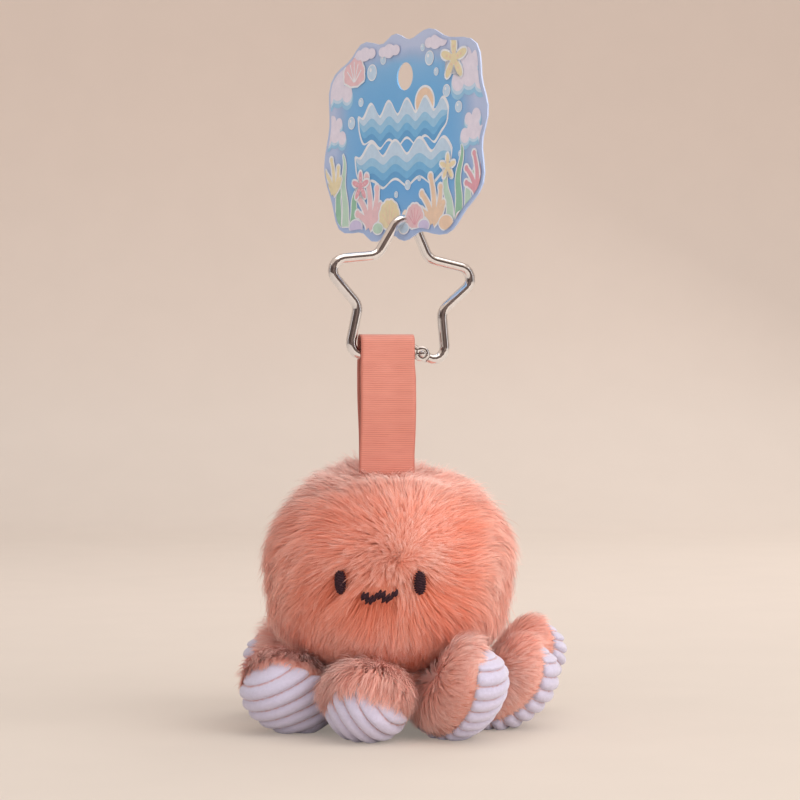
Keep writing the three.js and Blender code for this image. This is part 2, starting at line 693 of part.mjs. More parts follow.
// How full the arm is at a share of its length: a neck at the root, swelling, then a round end.
function fullness(path, share, inset) {
  const swell = THREE.MathUtils.smoothstep(share, 0, ARM_SWELL);
  const width = THREE.MathUtils.lerp(ARM_ROOT_WIDTH, ARM_WIDTH, swell) / ARM_WIDTH;
  const cap = Math.min(1, ((1 - share) * path.length - inset) / (ARM_CAP - inset));
  return width * Math.sqrt(Math.max(0, 1 - (1 - cap) ** 2));
}

// Points round the arm at a share of its length. Angle 0 is one side, a quarter turn its back.
function armRing(path, share, angles, inset, drop) {
  const { along, centre } = alongArm(path, share);
  const across = path.side.clone().addScaledVector(along, -path.side.dot(along)).normalize()
    .applyAxisAngle(along, path.twist * THREE.MathUtils.smoothstep(share, 0, ARM_SWELL));
  const back = new THREE.Vector3().crossVectors(along, across);
  const full = fullness(path, share, Math.max(0, inset));
  return angles.map((angle) => {
    const depth = Math.sin(angle) > 0 ? ARM_RISE : ARM_DROP;
    const shrink = inset * Math.min(1, full);
    return centre.clone()
      .addScaledVector(across, Math.max(0, full * (ARM_WIDTH / 2) - shrink) * Math.cos(angle))
      .addScaledVector(back, Math.max(0, full * depth - shrink) * Math.sin(angle) - drop);
  });
}

function evenly(from, to, steps) {
  return Array.from({ length: steps + 1 }, (_, i) => from + ((to - from) * i) / steps);
}

// Loops that start a little before the root.
function fromBeforeRoot(path, loops) {
  const step = path.start.clone().multiplyScalar(-2 * GAP);
  return [loops[0].map((point) => point.clone().add(step)), ...loops];
}

// The loops of the whole arm, set in by an even amount, with a clearance to that form.
function armLoops(path, inset, stations, clearance) {
  const round = evenly(0, 2 * Math.PI, ARM_SIDES).slice(1);
  const end = 1 - inset / path.length;
  return evenly(0, end, stations).map((share, i) => {
    const back = i === stations ? clearance / path.length : 0;
    return armRing(path, share - back, round, inset + clearance, 0);
  });
}

// How many ribs lie along the sole.
function ribCount(path) {
  return Math.round((path.length + path.turn * ARM_DROP) / RIB_PITCH);
}

const seamAngle = SEAM_ANGLE * RADIANS;
const backAngles = evenly(-seamAngle, Math.PI + seamAngle, SKIN_STEPS);
const soleAngles = evenly(Math.PI + seamAngle, 2 * Math.PI - seamAngle, SKIN_STEPS);

// The sector of the arm between its first and last angle, plain or ribbed outside.
function armSector(path, angles, drop, ribbed) {
  return loft(evenly(0, 1, ribCount(path) * (ribbed ? 2 : 1)).map((share, i) => {
    const [centre] = armRing(path, share, [0], ARM_WIDTH, drop);
    const groove = ribbed && i % 2 === 0 ? RIB_DEPTH : 0;
    return [centre, ...armRing(path, share, angles, groove, drop)];
  }), 'fan', 'none');
}

// The space that an arm keeps from its neighbours, round its back or its dropped sole.
function armSpace(path, drop) {
  const angles = [...backAngles, ...soleAngles.slice(1, -1)];
  const loops = evenly(0, 1, ribCount(path)).map((share) => armRing(path, share, angles, -2 * GAP, drop));
  return loft(fromBeforeRoot(path, loops), 'fan', 'none');
}

function belowGround() {
  const size = 4 * HEAD_RADIUS;
  return solid(new THREE.BoxGeometry(size, size, size).translate(0, 0, groundZ - size / 2));
}

function armMeshes() {
  const meshes = [];
  const ground = belowGround();
  let taken = headSolid(-2 * GAP, HEAD_DROP + GAP, HEAD_STEPS).add(solid(baseGeometry(GAP)));
  ARMS.forEach((arm, i) => {
    const level = armPath(arm, 0);
    const lowest = Math.min(...armLoops(level, 0, ribCount(level), 0).flat().map(({ z }) => z));
    const path = armPath(arm, groundZ - FOOT_FLAT - lowest);
    const sleeve = solid(armSector(path, backAngles, 0, false));
    const pad = solid(armSector(path, soleAngles, SEAM_GAP, true));
    const lining = armLoops(path, SKIN_THICKNESS, LINING_STATIONS, 0);
    const hollow = solid(loft(fromBeforeRoot(path, lining), 'fan', 'none'));
    const wadding = solid(loft(armLoops(path, SKIN_THICKNESS, LINING_STATIONS, 2 * GAP), 'fan', 'none'));
    const cut = (body) => geometryOf(body.subtract(taken).subtract(ground));
    const name = `arm_${i + 1}`;
    meshes.push(
      place(`${name}_sleeve`, cut(sleeve.subtract(hollow)), FUR),
      place(`${name}_pad`, cut(pad.subtract(hollow)), CORDUROY),
      place(`${name}_wadding`, cut(wadding), WADDING),
    );
    taken = taken.add(solid(armSpace(path, 0))).add(solid(armSpace(path, SEAM_GAP)));
  });
  return meshes;
}

// Assembly

const tag = new THREE.Group();
tag.rotation.z = -TAG_YAW * RADIANS;
tag.add(place('hang_tag', tagGeometry(), CARD));

// The star's top point hangs in the clip hole, its wire resting on the hole's lower edge.
const apex = bendMiddle(0);
const wireInHole = -holeSpacing - CLIP_HOLE_DIAMETER / 2 + wireRadius + GAP;

const star = new THREE.Group();
star.add(
  place('star_ring_body', starBody(), CHROME),
  place('gate', gateGeometry(), CHROME),
  place('gate_pivot_pin', pinGeometry(), CHROME),
  place('gate_spring', springGeometry(), SPRING_STEEL),
  place('ribbon_loop', ribbonGeometry(), SATIN),
);
star.position.set(-apex.x, 0, -apex.z);

const toy = new THREE.Group();
toy.position.set(ribbonX + HEAD_SIDE_STEP - apex.x, 0, ribbonFoot - apex.z - crownLift - HEAD_RISE);
toy.rotation.z = -(STAR_YAW + FACE_TURN) * RADIANS;
toy.add(
  place('head_cover', coverGeometry(), FUR),
  place('head_stuffing', stuffingGeometry(), WADDING),
  place('ribbon_sewn_end', sewnEndGeometry(), SATIN),
  place('base_panel', baseGeometry(0), CORDUROY),
  place('left_eye', eyeGeometry(-1), THREAD),
  place('right_eye', eyeGeometry(1), THREAD),
  place('mouth', mouthGeometry(), THREAD),
  ...armMeshes(),
);

// Everything below the tag hangs in the star's plane.
const hanging = new THREE.Group();
hanging.position.set(0, 0, wireInHole);
hanging.rotation.z = STAR_YAW * RADIANS;
hanging.add(star, toy);

const charm = new THREE.Group();
charm.add(tag, hanging);
export default charm;
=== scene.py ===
"""Looks of the plush bag charm: long fur, ribbed pads, satin ribbon, plated clip and printed card."""

import math

import bpy
import numpy as np
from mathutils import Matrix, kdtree


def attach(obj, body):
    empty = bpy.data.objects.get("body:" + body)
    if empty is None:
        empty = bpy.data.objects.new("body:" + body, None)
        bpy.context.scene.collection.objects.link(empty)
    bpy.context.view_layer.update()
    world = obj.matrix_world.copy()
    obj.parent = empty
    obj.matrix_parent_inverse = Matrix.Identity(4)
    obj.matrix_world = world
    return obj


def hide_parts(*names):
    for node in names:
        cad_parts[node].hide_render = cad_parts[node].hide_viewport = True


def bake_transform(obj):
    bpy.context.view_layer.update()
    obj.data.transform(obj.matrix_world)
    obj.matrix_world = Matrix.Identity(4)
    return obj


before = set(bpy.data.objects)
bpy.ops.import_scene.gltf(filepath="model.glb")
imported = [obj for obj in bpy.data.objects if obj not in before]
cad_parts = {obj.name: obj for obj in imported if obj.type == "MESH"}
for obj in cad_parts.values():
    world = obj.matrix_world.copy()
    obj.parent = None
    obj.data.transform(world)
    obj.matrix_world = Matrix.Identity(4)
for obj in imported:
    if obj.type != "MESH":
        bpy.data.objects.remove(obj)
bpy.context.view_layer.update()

MM = 0.001
SEED = 7
UP = np.array([0.0, 0.0, 1.0])

# The photograph's camera: place in millimetres, pitch in degrees and focal length in pixels
CAMERA_AT = (-1.9, -900.0, -95.0)
CAMERA_PITCH = -1.15
FOCAL_PIXELS = 2571
PICTURE_PIXELS = 800
SENSOR_WIDTH = 36

# Head: centre of the widest place, outline and face, in millimetres
HEAD = np.array([-5.752, -1.758, -169.448])
HEAD_RADIUS = 41.5
HEAD_RISE = 31.0
HEAD_DROP = 36.0
HEAD_DROP_AXIS = 38.6
HEAD_FULLNESS = 3.0
CROWN_FULLNESS = 2.05
FACE_YAW = math.radians(4.0)
SKIN_INSET = 2.4
BASE_DROP = 36.3
BASE_THICKNESS = 2.4
EYE_SPACING = 26.2
EYE_WIDTH = 3.8
EYE_HEIGHT = 8.0
EYE_BELOW_WIDEST = 3.8
EYE_THREAD = 0.46
MOUTH_WIDTH = 10.8
MOUTH_DEPTH = 2.3
MOUTH_BELOW_WIDEST = 7.8
MOUTH_THREAD = 0.56
EYE_MARGIN = 0.05
MOUTH_MARGIN = (0.5, 1.1)
CLEARED = 0.96    # the share of the strands over the eyes and mouth that are left out

# Arms, as in the solids; rib_way turns a pad's ribs and mound makes the fur on its back fuller
ARM_WIDTH = 29.0
ARM_RISE = 13.0
ARM_DROP = 13.5
ARM_ROOT_WIDTH = 19.0
ARM_DESCENT = 42.0
ARM_BEND_RADIUS = 16.5
ARM_LEG = 5.0
ARM_CAP = 12.0
ARM_SWELL = 0.4
RIB_PITCH = 4.6
RIB_DEPTH = 1.7
SEAM_GAP = 0.6
SEAM_ANGLE = math.radians(12)
GROUND = -57.0
FOOT_FLAT = 0.5
ARMS = [
    dict(azimuth=-149, curl=62, lean=0, twist=45, reach=-2, rib_way=(-0.40, -0.24, 0.88)),
    dict(azimuth=-107, curl=58, lean=42, twist=0, reach=0, rib_way=(0.80, -0.36, 0.48), mound=3.0),
    dict(azimuth=-58, curl=82, lean=0, twist=56, reach=0),
    dict(azimuth=-13, curl=82, lean=0, twist=33, reach=-2, mound=-1.5),
    dict(azimuth=27, curl=78, lean=0, twist=0, reach=4, mound=-3.5),
    dict(azimuth=68, curl=56, lean=6, twist=6, reach=0),
    dict(azimuth=108, curl=62, lean=-6, twist=0, reach=0),
    dict(azimuth=146, curl=84, lean=0, twist=8, reach=-2),
]

# Fur: strands a piece, and how each is made: its width in millimetres, strands a lock, and how far a
# lock closes at its tip
HEAD_STRANDS = 28000
HEAD_SAMPLES = int(HEAD_STRANDS * 9.6)
HEAD_PILE = dict(segments=4, width=0.165, lock_size=10, gather=0.5)
ARM_STRANDS = 16000
ARM_PILE = dict(segments=3, width=0.20, lock_size=9, gather=0.38)
HEAD_PARTS = ("right", "back_right", "back", "back_left", "left", "front_left", "front", "front_right")
WHORL = np.array([6.0, -40.6, 7.0])

# Ribbon: fold over the gate and foot on the crown, in millimetres
RIBBON_FOOT = np.array([-6.517, -1.992, -137.448])
RIBBON_YAW = math.radians(17)
RIBBON_WIDTH = 20.0
RIBBON_LENGTH = 47.6
RIBBON_INSIDE = 2.3
RIBBON_CLOTH = 0.45
RIBBON_SEWN = 9.0
PIN_CLEARANCE = 0.5    # the edge gives way beside the pivot pin's heads

# Hang tag: its own axes and the middle of its outline, from the peg hole
TAG_YAW = math.radians(55)
TAG_ALONG = np.array([math.cos(TAG_YAW), -math.sin(TAG_YAW), 0.0])
TAG_FRONT = np.array([-math.sin(TAG_YAW), -math.cos(TAG_YAW), 0.0])
TAG_HALF = (48.0, 35.0)
TAG_MIDDLE = (-1.5, -21.0)
TAG_SQUARENESS = 3.4
TAG_SLANT = 0.05
TAG_WAVES = 12
TAG_WAVE_DEPTH = 1.4
TAG_WAVE_DRIFT = 0.6
TAG_THICKNESS = 0.6
PRINT_MARGIN = 1.3
PRINT_LIFT = 0.03
INK_STEP = 0.0015    # each shape's height over the one before


# Node materials


class NodeTree:
    """The shader nodes of a material or world, and short ways to add to them."""

    def __init__(self, owner):
        owner.use_nodes = True
        self.nodes, self.links = owner.node_tree.nodes, owner.node_tree.links

    def node(self, kind, **values):
        node = self.nodes.new("ShaderNode" + kind)
        for key, value in values.items():
            if key in node.inputs:
                node.inputs[key].default_value = value
            else:
                setattr(node, key, value)
        return node

    def feed(self, socket, value):
        """Joins a socket to another node's output, or sets it to a number or a colour."""
        if isinstance(value, bpy.types.NodeSocket):
            self.links.new(value, socket)
        elif isinstance(value, tuple):
            socket.default_value = (*value, 1)
        else:
            socket.default_value = value

    def spot(self):
        return self.node("TexCoord").outputs["Object"]

    def noise(self, scale, detail=3.0, roughness=0.5, stretch=None):
        where = self.spot()
        if stretch:
            mapping = self.node("Mapping", Scale=stretch)
            self.feed(mapping.inputs["Vector"], where)
            where = mapping.outputs["Vector"]
        noise = self.node("TexNoise", Scale=scale, Detail=detail, Roughness=roughness)
        self.feed(noise.inputs["Vector"], where)
        return noise.outputs["Fac"]

    def axes(self, vector):
        parts = self.node("SeparateXYZ")
        self.feed(parts.inputs["Vector"], vector)
        return parts.outputs

    def ramp(self, source, *stops):
        ramp = self.node("ValToRGB")
        elements = ramp.color_ramp.elements
        while len(elements) < len(stops):
            elements.new(0.5)
        for element, (place, colour) in zip(elements, stops):
            element.position = place
            element.color = (*colour, 1)
        self.feed(ramp.inputs["Fac"], source)
        return ramp.outputs["Color"]

    def mix(self, share, first, second, blend="MIX"):
        mix = self.node("Mix", data_type="RGBA", blend_type=blend)
        for index, value in ((0, share), (6, first), (7, second)):
            self.feed(mix.inputs[index], value)
        return mix.outputs[2]

    def multiply(self, first, second):
        return self.mix(1.0, first, second, "MULTIPLY")

    def calc(self, operation, *values):
        node = self.node("Math", operation=operation)
        for socket, value in zip(node.inputs, values):
            self.feed(socket, value)
        return node.outputs[0]


class Look(NodeTree):
    """A material with one principled shader, whose plain settings are given by name."""

    def __init__(self, name, settings):
        self.material = bpy.data.materials.new(name)
        super().__init__(self.material)
        self.shader = self.nodes["Principled BSDF"]
        for key, value in settings.items():
            self.shader.inputs[key].default_value = value

    def attribute(self, name, output="Fac"):
        return self.node("Attribute", attribute_name=name).outputs[output]

    def paint(self, value, socket="Base Color"):
        self.feed(self.shader.inputs[socket], value)

    def bump(self, height, strength, distance):
        bump = self.node("Bump", Strength=strength, Distance=distance)
        self.feed(bump.inputs["Height"], height)
        self.paint(bump.outputs["Normal"], "Normal")


def grey(level):
    return (level, level, level)


def fur_material():
    """Strands: deep coral at the root, pale peach at the tip, each lock a little different."""
    look = Look("coral_fur", {"Roughness": 0.55, "Specular IOR Level": 0.3, "Sheen Weight": 0.40,
                              "Sheen Roughness": 0.4})
    along = look.attribute("along")
    tone = look.attribute("tone")
    deep = look.ramp(along, (0.0, (0.76, 0.16, 0.08)), (0.35, (0.88, 0.23, 0.125)),
                     (0.75, (0.91, 0.30, 0.19)), (1.0, (0.93, 0.42, 0.32)))
    pale = look.ramp(along, (0.0, (0.82, 0.23, 0.12)), (0.35, (0.92, 0.35, 0.24)),
                     (0.75, (0.95, 0.52, 0.42)), (1.0, (0.98, 0.78, 0.72)))
    patches = look.ramp(look.noise(60.0, 2.0), (0.3, (1.0, 0.92, 0.90)), (0.7, grey(1.0)))
    look.paint(look.multiply(look.mix(tone, deep, pale), patches))
    return look.material


def under_fur_material():
    """The cloth that the strands grow from, seen only between them."""
    look = Look("fur_backing", {"Roughness": 0.9, "Sheen Weight": 0.2})
    streaks = look.noise(700.0, 4.0, 0.6, (1.0, 1.0, 0.3))
    look.paint(look.ramp(streaks, (0.3, (0.82, 0.25, 0.15)), (0.7, (0.96, 0.40, 0.28))))
    look.bump(streaks, 0.6, 0.0006)
    return look.material


def corduroy_material():
    """Lilac-white velvety ribs, pinkish in the grooves: partly the base cloth, partly painted shade."""
    look = Look("white_corduroy", {"Roughness": 0.92, "Sheen Weight": 0.35, "Sheen Roughness": 0.6})
    groove = look.attribute("groove")
    nap = look.noise(900.0, 4.0, 0.65)
    cloud = look.noise(45.0, 2.0)
    rib = look.ramp(nap, (0.25, (0.48, 0.43, 0.55)), (0.75, (0.61, 0.57, 0.72)))
    rib = look.mix(cloud, rib, (0.56, 0.52, 0.64))
    # The deepest part of each groove turns pinkish brown: partly the base cloth showing, partly painted
    # shade.
    uneven = look.calc("MULTIPLY", groove, look.calc("ADD", nap, 0.45))
    valley = look.ramp(uneven, (0.62, grey(0.0)), (0.90, grey(1.0)))
    look.paint(look.mix(valley, rib, (0.50, 0.30, 0.32)))
    look.bump(nap, 0.45, 0.0004)
    return look.material


def satin_material():
    """Salmon satin: fine threads across the band, a soft sheen and a slightly deeper edge."""
    look = Look("salmon_satin", {"Roughness": 0.42, "Anisotropic": 0.5, "Sheen Weight": 0.2})
    wave = look.node("TexWave", Scale=480.0, Distortion=0.8, Detail=1.0, bands_direction="Z")
    look.feed(wave.inputs["Vector"], look.spot())
    threads = wave.outputs["Fac"]
    blotch = look.noise(120.0, 3.0, 0.5, (1.0, 1.0, 4.0))
    weave = look.ramp(threads, (0.0, (0.40, 0.125, 0.085)), (1.0, (0.68, 0.245, 0.185)))
    colour = look.mix(blotch, weave, (0.64, 0.245, 0.185))
    look.paint(look.mix(look.attribute("edge"), colour, (0.52, 0.155, 0.11)))
    look.bump(threads, 0.5, 0.00012)
    return look.material


def thread_material():
    """Dark plum-brown embroidery thread with twisted plies."""
    look = Look("dark_thread", {"Roughness": 0.55, "Specular IOR Level": 0.25})
    plies = look.noise(2200.0, 3.0, 0.6)
    look.paint(look.ramp(plies, (0.3, (0.012, 0.004, 0.008)), (0.75, (0.060, 0.020, 0.030))))
    look.bump(plies, 0.5, 0.0002)
    return look.material


def chrome_material():
    """Bright nickel plating with the faint unevenness of bent wire."""
    look = Look("bright_plating", {"Metallic": 1.0})
    marks = look.noise(260.0, 4.0, 0.6)
    look.paint(look.ramp(marks, (0.3, (0.80, 0.79, 0.80)), (0.7, (0.90, 0.89, 0.90))))
    look.paint(look.ramp(marks, (0.35, grey(0.05)), (0.8, grey(0.13))), "Roughness")
    look.bump(marks, 0.06, 0.0002)
    return look.material


def spring_material():
    look = Look("spring_wire", {"Metallic": 1.0, "Roughness": 0.35})
    drawn = look.noise(3000.0, 2.0)
    look.paint(look.ramp(drawn, (0.3, (0.42, 0.42, 0.43)), (0.7, (0.58, 0.58, 0.60))))
    return look.material


COATED = {"Roughness": 0.38, "Coat Weight": 0.25, "Coat Roughness": 0.25}


def card_material():
    """Coated card: a bright blue panel that fades into a pale periwinkle border."""
    look = Look("printed_card", COATED)
    turned = look.node("Mapping", vector_type="POINT", Rotation=(0, 0, TAG_YAW))
    look.feed(turned.inputs["Vector"], look.spot())
    along, _, up = look.axes(turned.outputs["Vector"])
    reach = []
    for axis, middle, half in zip((along, up), TAG_MIDDLE, TAG_HALF):
        share = look.calc("DIVIDE", look.calc("SUBTRACT", axis, middle * MM), half * MM)
        reach.append(look.calc("POWER", look.calc("ABSOLUTE", share), TAG_SQUARENESS))
    wobble = look.calc("MULTIPLY", look.noise(70.0, 2.0), 0.25)
    spread = look.calc("ADD", look.calc("ADD", *reach), wobble)
    panel = look.ramp(spread, (0.12, (0.14, 0.43, 0.78)), (0.45, (0.22, 0.48, 0.79)),
                      (0.62, (0.35, 0.49, 0.74)), (0.80, (0.50, 0.58, 0.80)))
    rise = look.calc("MULTIPLY_ADD", up, 12.0, 0.9)
    sky = look.ramp(rise, (0.25, (0.62, 0.82, 1.0)), (0.9, grey(1.0)))
    grain = look.noise(2500.0, 2.0)
    paper = look.ramp(grain, (0.3, grey(0.97)), (0.7, grey(1.0)))
    look.paint(look.multiply(look.mix(0.6, panel, look.multiply(panel, sky)), paper))
    look.bump(grain, 0.1, 0.00005)
    return look.material


def ink_material():
    look = Look("printed_ink", COATED)
    wash = look.ramp(look.noise(400.0, 3.0, 0.6), (0.3, (0.80, 0.81, 0.83)), (0.7, grey(0.90)))
    look.paint(look.multiply(look.attribute("ink", "Color"), wash))
    return look.material


# Mesh helpers: points in millimetres, meshes in metres


def mesh_object(name, points, corners, sizes, material, attributes=None, normals=None):
    """A smooth mesh from an array of points, its faces' corners in a row and each face's size."""
    points = np.asarray(points, float) * MM
    corners = np.asarray(corners, np.int32)
    sizes = np.asarray(sizes, np.int32)
    starts = np.concatenate([[0], np.cumsum(sizes)[:-1]]).astype(np.int32)
    mesh = bpy.data.meshes.new(name)
    mesh.vertices.add(len(points))
    mesh.vertices.foreach_set("co", points.ravel().astype(np.float32))
    mesh.loops.add(len(corners))
    mesh.loops.foreach_set("vertex_index", corners)
    mesh.polygons.add(len(sizes))
    mesh.polygons.foreach_set("loop_start", starts)
    mesh.update(calc_edges=True)
    mesh.validate()
    mesh.polygons.foreach_set("use_smooth", np.ones(len(mesh.polygons), bool))
    for key, values in (attributes or {}).items():
        layer = mesh.attributes.new(key, "FLOAT", "POINT")
        layer.data.foreach_set("value", np.asarray(values, np.float32))
    if normals is not None:
        mesh.normals_split_custom_set_from_vertices(np.asarray(normals, np.float32))
    mesh.materials.append(material)
    obj = bpy.data.objects.new(name, mesh)
    bpy.context.scene.collection.objects.link(obj)
    return obj


def loft_faces(stations, around, caps=True):
    """Corners and sizes of the quads over closed loops of points, with a face at each end."""
    i, j = np.meshgrid(np.arange(stations - 1), np.arange(around), indexing="ij")
    a = i * around + j
    b = i * around + (j + 1) % around
    quads = np.stack([a, b, b + around, a + around], -1).reshape(-1, 4)
    corners, sizes = [quads.ravel()], [np.full(len(quads), 4)]
    if caps:
        corners += [np.arange(around)[::-1], (stations - 1) * around + np.arange(around)]
        sizes += [[around], [around]]
    return np.concatenate(corners), np.concatenate(sizes)


def full_turn(count):
    return np.linspace(0, 2 * math.pi, count, endpoint=False)


def columns(*values):
    return np.stack(values, -1)


def unit(vectors):
    size = np.linalg.norm(vectors, axis=-1, keepdims=True)
    return vectors / np.maximum(size, 1e-9)


def turn(vectors, axis, angle):
    """Vectors turned about a unit axis by an angle in radians."""
    c, s = np.cos(angle), np.sin(angle)
    along = (vectors * axis).sum(-1, keepdims=True) * axis
    return vectors * c + np.cross(axis, vectors) * s + along * (1 - c)


def laid(way, normal):
    """The part of a way that lies in the surface, at unit length."""
    return unit(way - (way * normal).sum(-1, keepdims=True) * normal)


def smooth_step(x, low, high):
    t = np.clip((x - low) / float(high - low), 0, 1)
    return t * t * (3 - 2 * t)


# Head


def radius_below(depth):
    """The head's radius at a depth under its widest place."""
    return HEAD_RADIUS * (1 - (depth / HEAD_DROP_AXIS) ** HEAD_FULLNESS) ** (1 / HEAD_FULLNESS)


SEAM_RADIUS = radius_below(HEAD_DROP)


def skin_radius(z):
    """The skin's radius at a height over the head's widest place."""
    rise = HEAD_RISE - SKIN_INSET
    upper = 1 - (np.clip(z, 0, rise) / rise) ** CROWN_FULLNESS
    lower = 1 - (np.clip(-z, 0, HEAD_DROP_AXIS) / HEAD_DROP_AXIS) ** HEAD_FULLNESS
    share = np.where(z > 0, np.maximum(upper, 0) ** (1 / CROWN_FULLNESS),
                     np.maximum(lower, 0) ** (1 / HEAD_FULLNESS))
    return (HEAD_RADIUS - SKIN_INSET) * share


def on_face(x, z, lift):
    """Points on the head's front and the way out of it there, turned as the face is."""
    x, z = np.broadcast_arrays(np.asarray(x, float), np.asarray(z, float))

    def at(u, w):
        radius = radius_below(np.abs(w))
        return columns(u, -np.sqrt(np.maximum(radius * radius - u * u, 0)), w)

    step = 0.05
    out = unit(np.cross(at(x + step, z) - at(x - step, z), at(x, z + step) - at(x, z - step)))
    return HEAD + turn(at(x, z) + out * lift, UP, -FACE_YAW), turn(out, UP, -FACE_YAW)


def head_skin(material):
    """The sewn skin: a full round form, a little uneven as stuffing makes it, open for the base."""
    upper = np.linspace(math.pi / 2, 0, 34)
    lower = np.linspace(0, 1, 26)[1:]
    rise = HEAD_RISE - SKIN_INSET
    zs = np.concatenate([rise * np.sin(upper) ** (2 / CROWN_FULLNESS), -HEAD_DROP * lower])
    around = 96
    angles = full_turn(around)
    z = zs[1:, None] + 0 * angles
    radius = skin_radius(z)
    uneven = 0.5 * np.sin(3 * angles + 0.4) * np.cos(z / 16) + 0.35 * np.sin(5 * angles + z / 9)
    radius = radius + uneven * np.minimum(1, radius / 20)
    ring = columns(radius * np.cos(angles), radius * np.sin(angles), z)
    points = np.concatenate([HEAD + ring.reshape(-1, 3), [HEAD + [0, 0, rise]]])
    corners, sizes = loft_faces(len(zs) - 1, around, caps=False)
    top = len(points) - 1
    fan = np.array([[(j + 1) % around, j, top] for j in range(around)])
    floor = (len(zs) - 2) * around + np.arange(around)
    corners = np.concatenate([corners[::-1], fan[:, ::-1].ravel(), floor[::-1]])
    sizes = np.concatenate([sizes, np.full(around, 3), [around]])
    return mesh_object("head_skin", points, corners, sizes, material)


# Fur


def sample_surface(obj, count, rng):
    """Random points all over a mesh, by area, with the smooth normals there."""
    mesh = obj.data
    mesh.calc_loop_triangles()

    def table(items, name, kind=float):
        values = np.empty(len(items) * 3, kind)
        items.foreach_get(name, values)
        return values.reshape(-1, 3)

    points = table(mesh.vertices, "co") / MM
    normals = table(mesh.vertices, "normal")
    tris = table(mesh.loop_triangles, "vertices", np.int32)
    a, b, c = points[tris[:, 0]], points[tris[:, 1]], points[tris[:, 2]]
    areas = np.linalg.norm(np.cross(b - a, c - a), axis=1)
    pick = rng.choice(len(tris), count, p=areas / areas.sum())
    u, v = rng.random(count), rng.random(count)
    flip = u + v > 1
    u[flip], v[flip] = 1 - u[flip], 1 - v[flip]
    u, v, w = u[:, None], v[:, None], (1 - u - v)[:, None]
    place = w * a[pick] + u * b[pick] + v * c[pick]
    tris = tris[pick]
    return place, unit(w * normals[tris[:, 0]] + u * normals[tris[:, 1]] + v * normals[tris[:, 2]])


def drift(place, rng, span):
    """A smooth random field of about unit size over the points, changing within a span."""
    total = np.zeros(len(place))
    for _ in range(5):
        way = unit(rng.normal(size=3)) / (span * rng.uniform(0.6, 1.6))
        total += np.sin(2 * math.pi * (place @ way + rng.random()))
    return total / 1.6


def grow(place, normal, comb, rng, segments, width, lock_size, gather):
    """The stations of each strand. comb gives flow, length, lift and the form's radius at each root."""
    flow, length, lift, bend = comb(place, normal)
    locks = max(1, int(len(place) / lock_size))
    chosen = rng.choice(len(place), locks, replace=False)
    tree = kdtree.KDTree(locks)
    for i, root in enumerate(place[chosen]):
        tree.insert(root, i)
    tree.balance()
    owner = np.array([tree.find(root)[1] for root in place])
    lock = chosen[owner]
    lock_swing, field_swing, jitter, stray_share = math.radians(6), math.radians(11), 0.12, 0.03
    swing = rng.normal(0, lock_swing, locks)[owner] + field_swing * drift(place, rng, 20)
    side = np.cross(normal, flow)
    along = unit(flow * np.cos(swing)[:, None] + side * np.sin(swing)[:, None]
                 + rng.normal(0, jitter, place.shape))
    size = length * rng.uniform(0.85, 1.15, locks)[owner] * rng.uniform(0.80, 1.08, len(place))
    rise = lift * (rng.uniform(0.85, 1.2, locks)[owner] + 0.14 * drift(place, rng, 12))
    stray = rng.random(len(place)) < stray_share
    rise = rise + rng.normal(0, math.radians(4), len(place)) + math.radians(12) * stray
    phase = rng.uniform(0, 2 * math.pi, locks)[owner]
    wave = rng.uniform(0.02, 0.055, locks)[owner] * size
    s = np.linspace(0, 1, segments + 1)[None, :, None]

    def curve(root, way, out, long, tilt, radius):
        long, tilt, radius = long[:, None, None], tilt[:, None, None], radius[:, None, None]
        reach = long * (s * np.cos(tilt) + 0.12 * s * s)
        height = long * np.sin(tilt) * s * (1 - 0.42 * s)
        height = height - reach * reach / (2 * radius)
        return root[:, None] + reach * way[:, None] + height * out[:, None]

    own = curve(place, along, normal, size, rise, bend)
    heart = curve(place[lock], along[lock], normal[lock], size[lock], rise[lock], bend[lock])
    offset = (place - place[lock])[:, None] * (1 - 0.85 * s)
    share = gather * s ** 1.2 * (1 - stray)[:, None, None]
    path = own * (1 - share) + (heart + offset) * share
    ripple = wave[:, None, None] * np.sin(2 * math.pi * 0.9 * s + phase[:, None, None]) * s
    path = path + ripple * unit(np.cross(normal, along))[:, None]
    tone = rng.beta(1.6, 2.2, locks)[owner] * 0.5 + rng.beta(1.5, 2.0, len(place)) * 0.4
    tone = np.clip(tone + 0.05 + 0.10 * drift(place, rng, 16), 0, 1)
    return path, along, tone, width * rng.uniform(0.75, 1.2, len(place))


def strand_object(name, path, along, normal, tone, width, rng, material, pale):
    """Strands as flat tapering blades, lit mostly as the surface that they grow from."""
    count, stations = path.shape[:2]
    s = np.linspace(0, 1, stations)
    spin = rng.uniform(-1.0, 1.0, count)
    side = unit(np.cross(along, normal))
    blade = side * np.cos(spin)[:, None] + normal * np.sin(spin)[:, None]
    half = 0.5 * width[:, None] * (1 - 0.75 * s[:-1]) ** 0.8
    spread = half[..., None] * blade[:, None]
    each = 2 * (stations - 1) + 1
    points = np.empty((count, each, 3))
    points[:, 0:-1:2] = path[:, :-1] - spread
    points[:, 1:-1:2] = path[:, :-1] + spread
    points[:, -1] = path[:, -1]
    base = [2 * k + step for k in range(stations - 2) for step in (0, 1, 3, 2)]
    base += [each - 3, each - 2, each - 1]
    sizes = [4] * (stations - 2) + [3]
    corners = (np.arange(count)[:, None] * each + np.array(base)).ravel()
    shade = np.append(np.repeat(s[:-1], 2), 1.0)
    chord = path[:, -1] - path[:, 0]
    facing = unit(np.cross(blade, chord))
    facing *= np.sign((facing * normal).sum(-1, keepdims=True) + 1e-6)
    lit = unit(0.80 * normal + 0.26 * facing + 0.20 * unit(chord))
    attributes = {"along": (pale[:, None] + (1 - pale[:, None]) * shade).ravel(),
                  "tone": np.repeat(tone, each)}
    return mesh_object(name, points.reshape(-1, 3), corners, np.tile(sizes, count), material,
                       attributes, np.repeat(lit, each, axis=0))


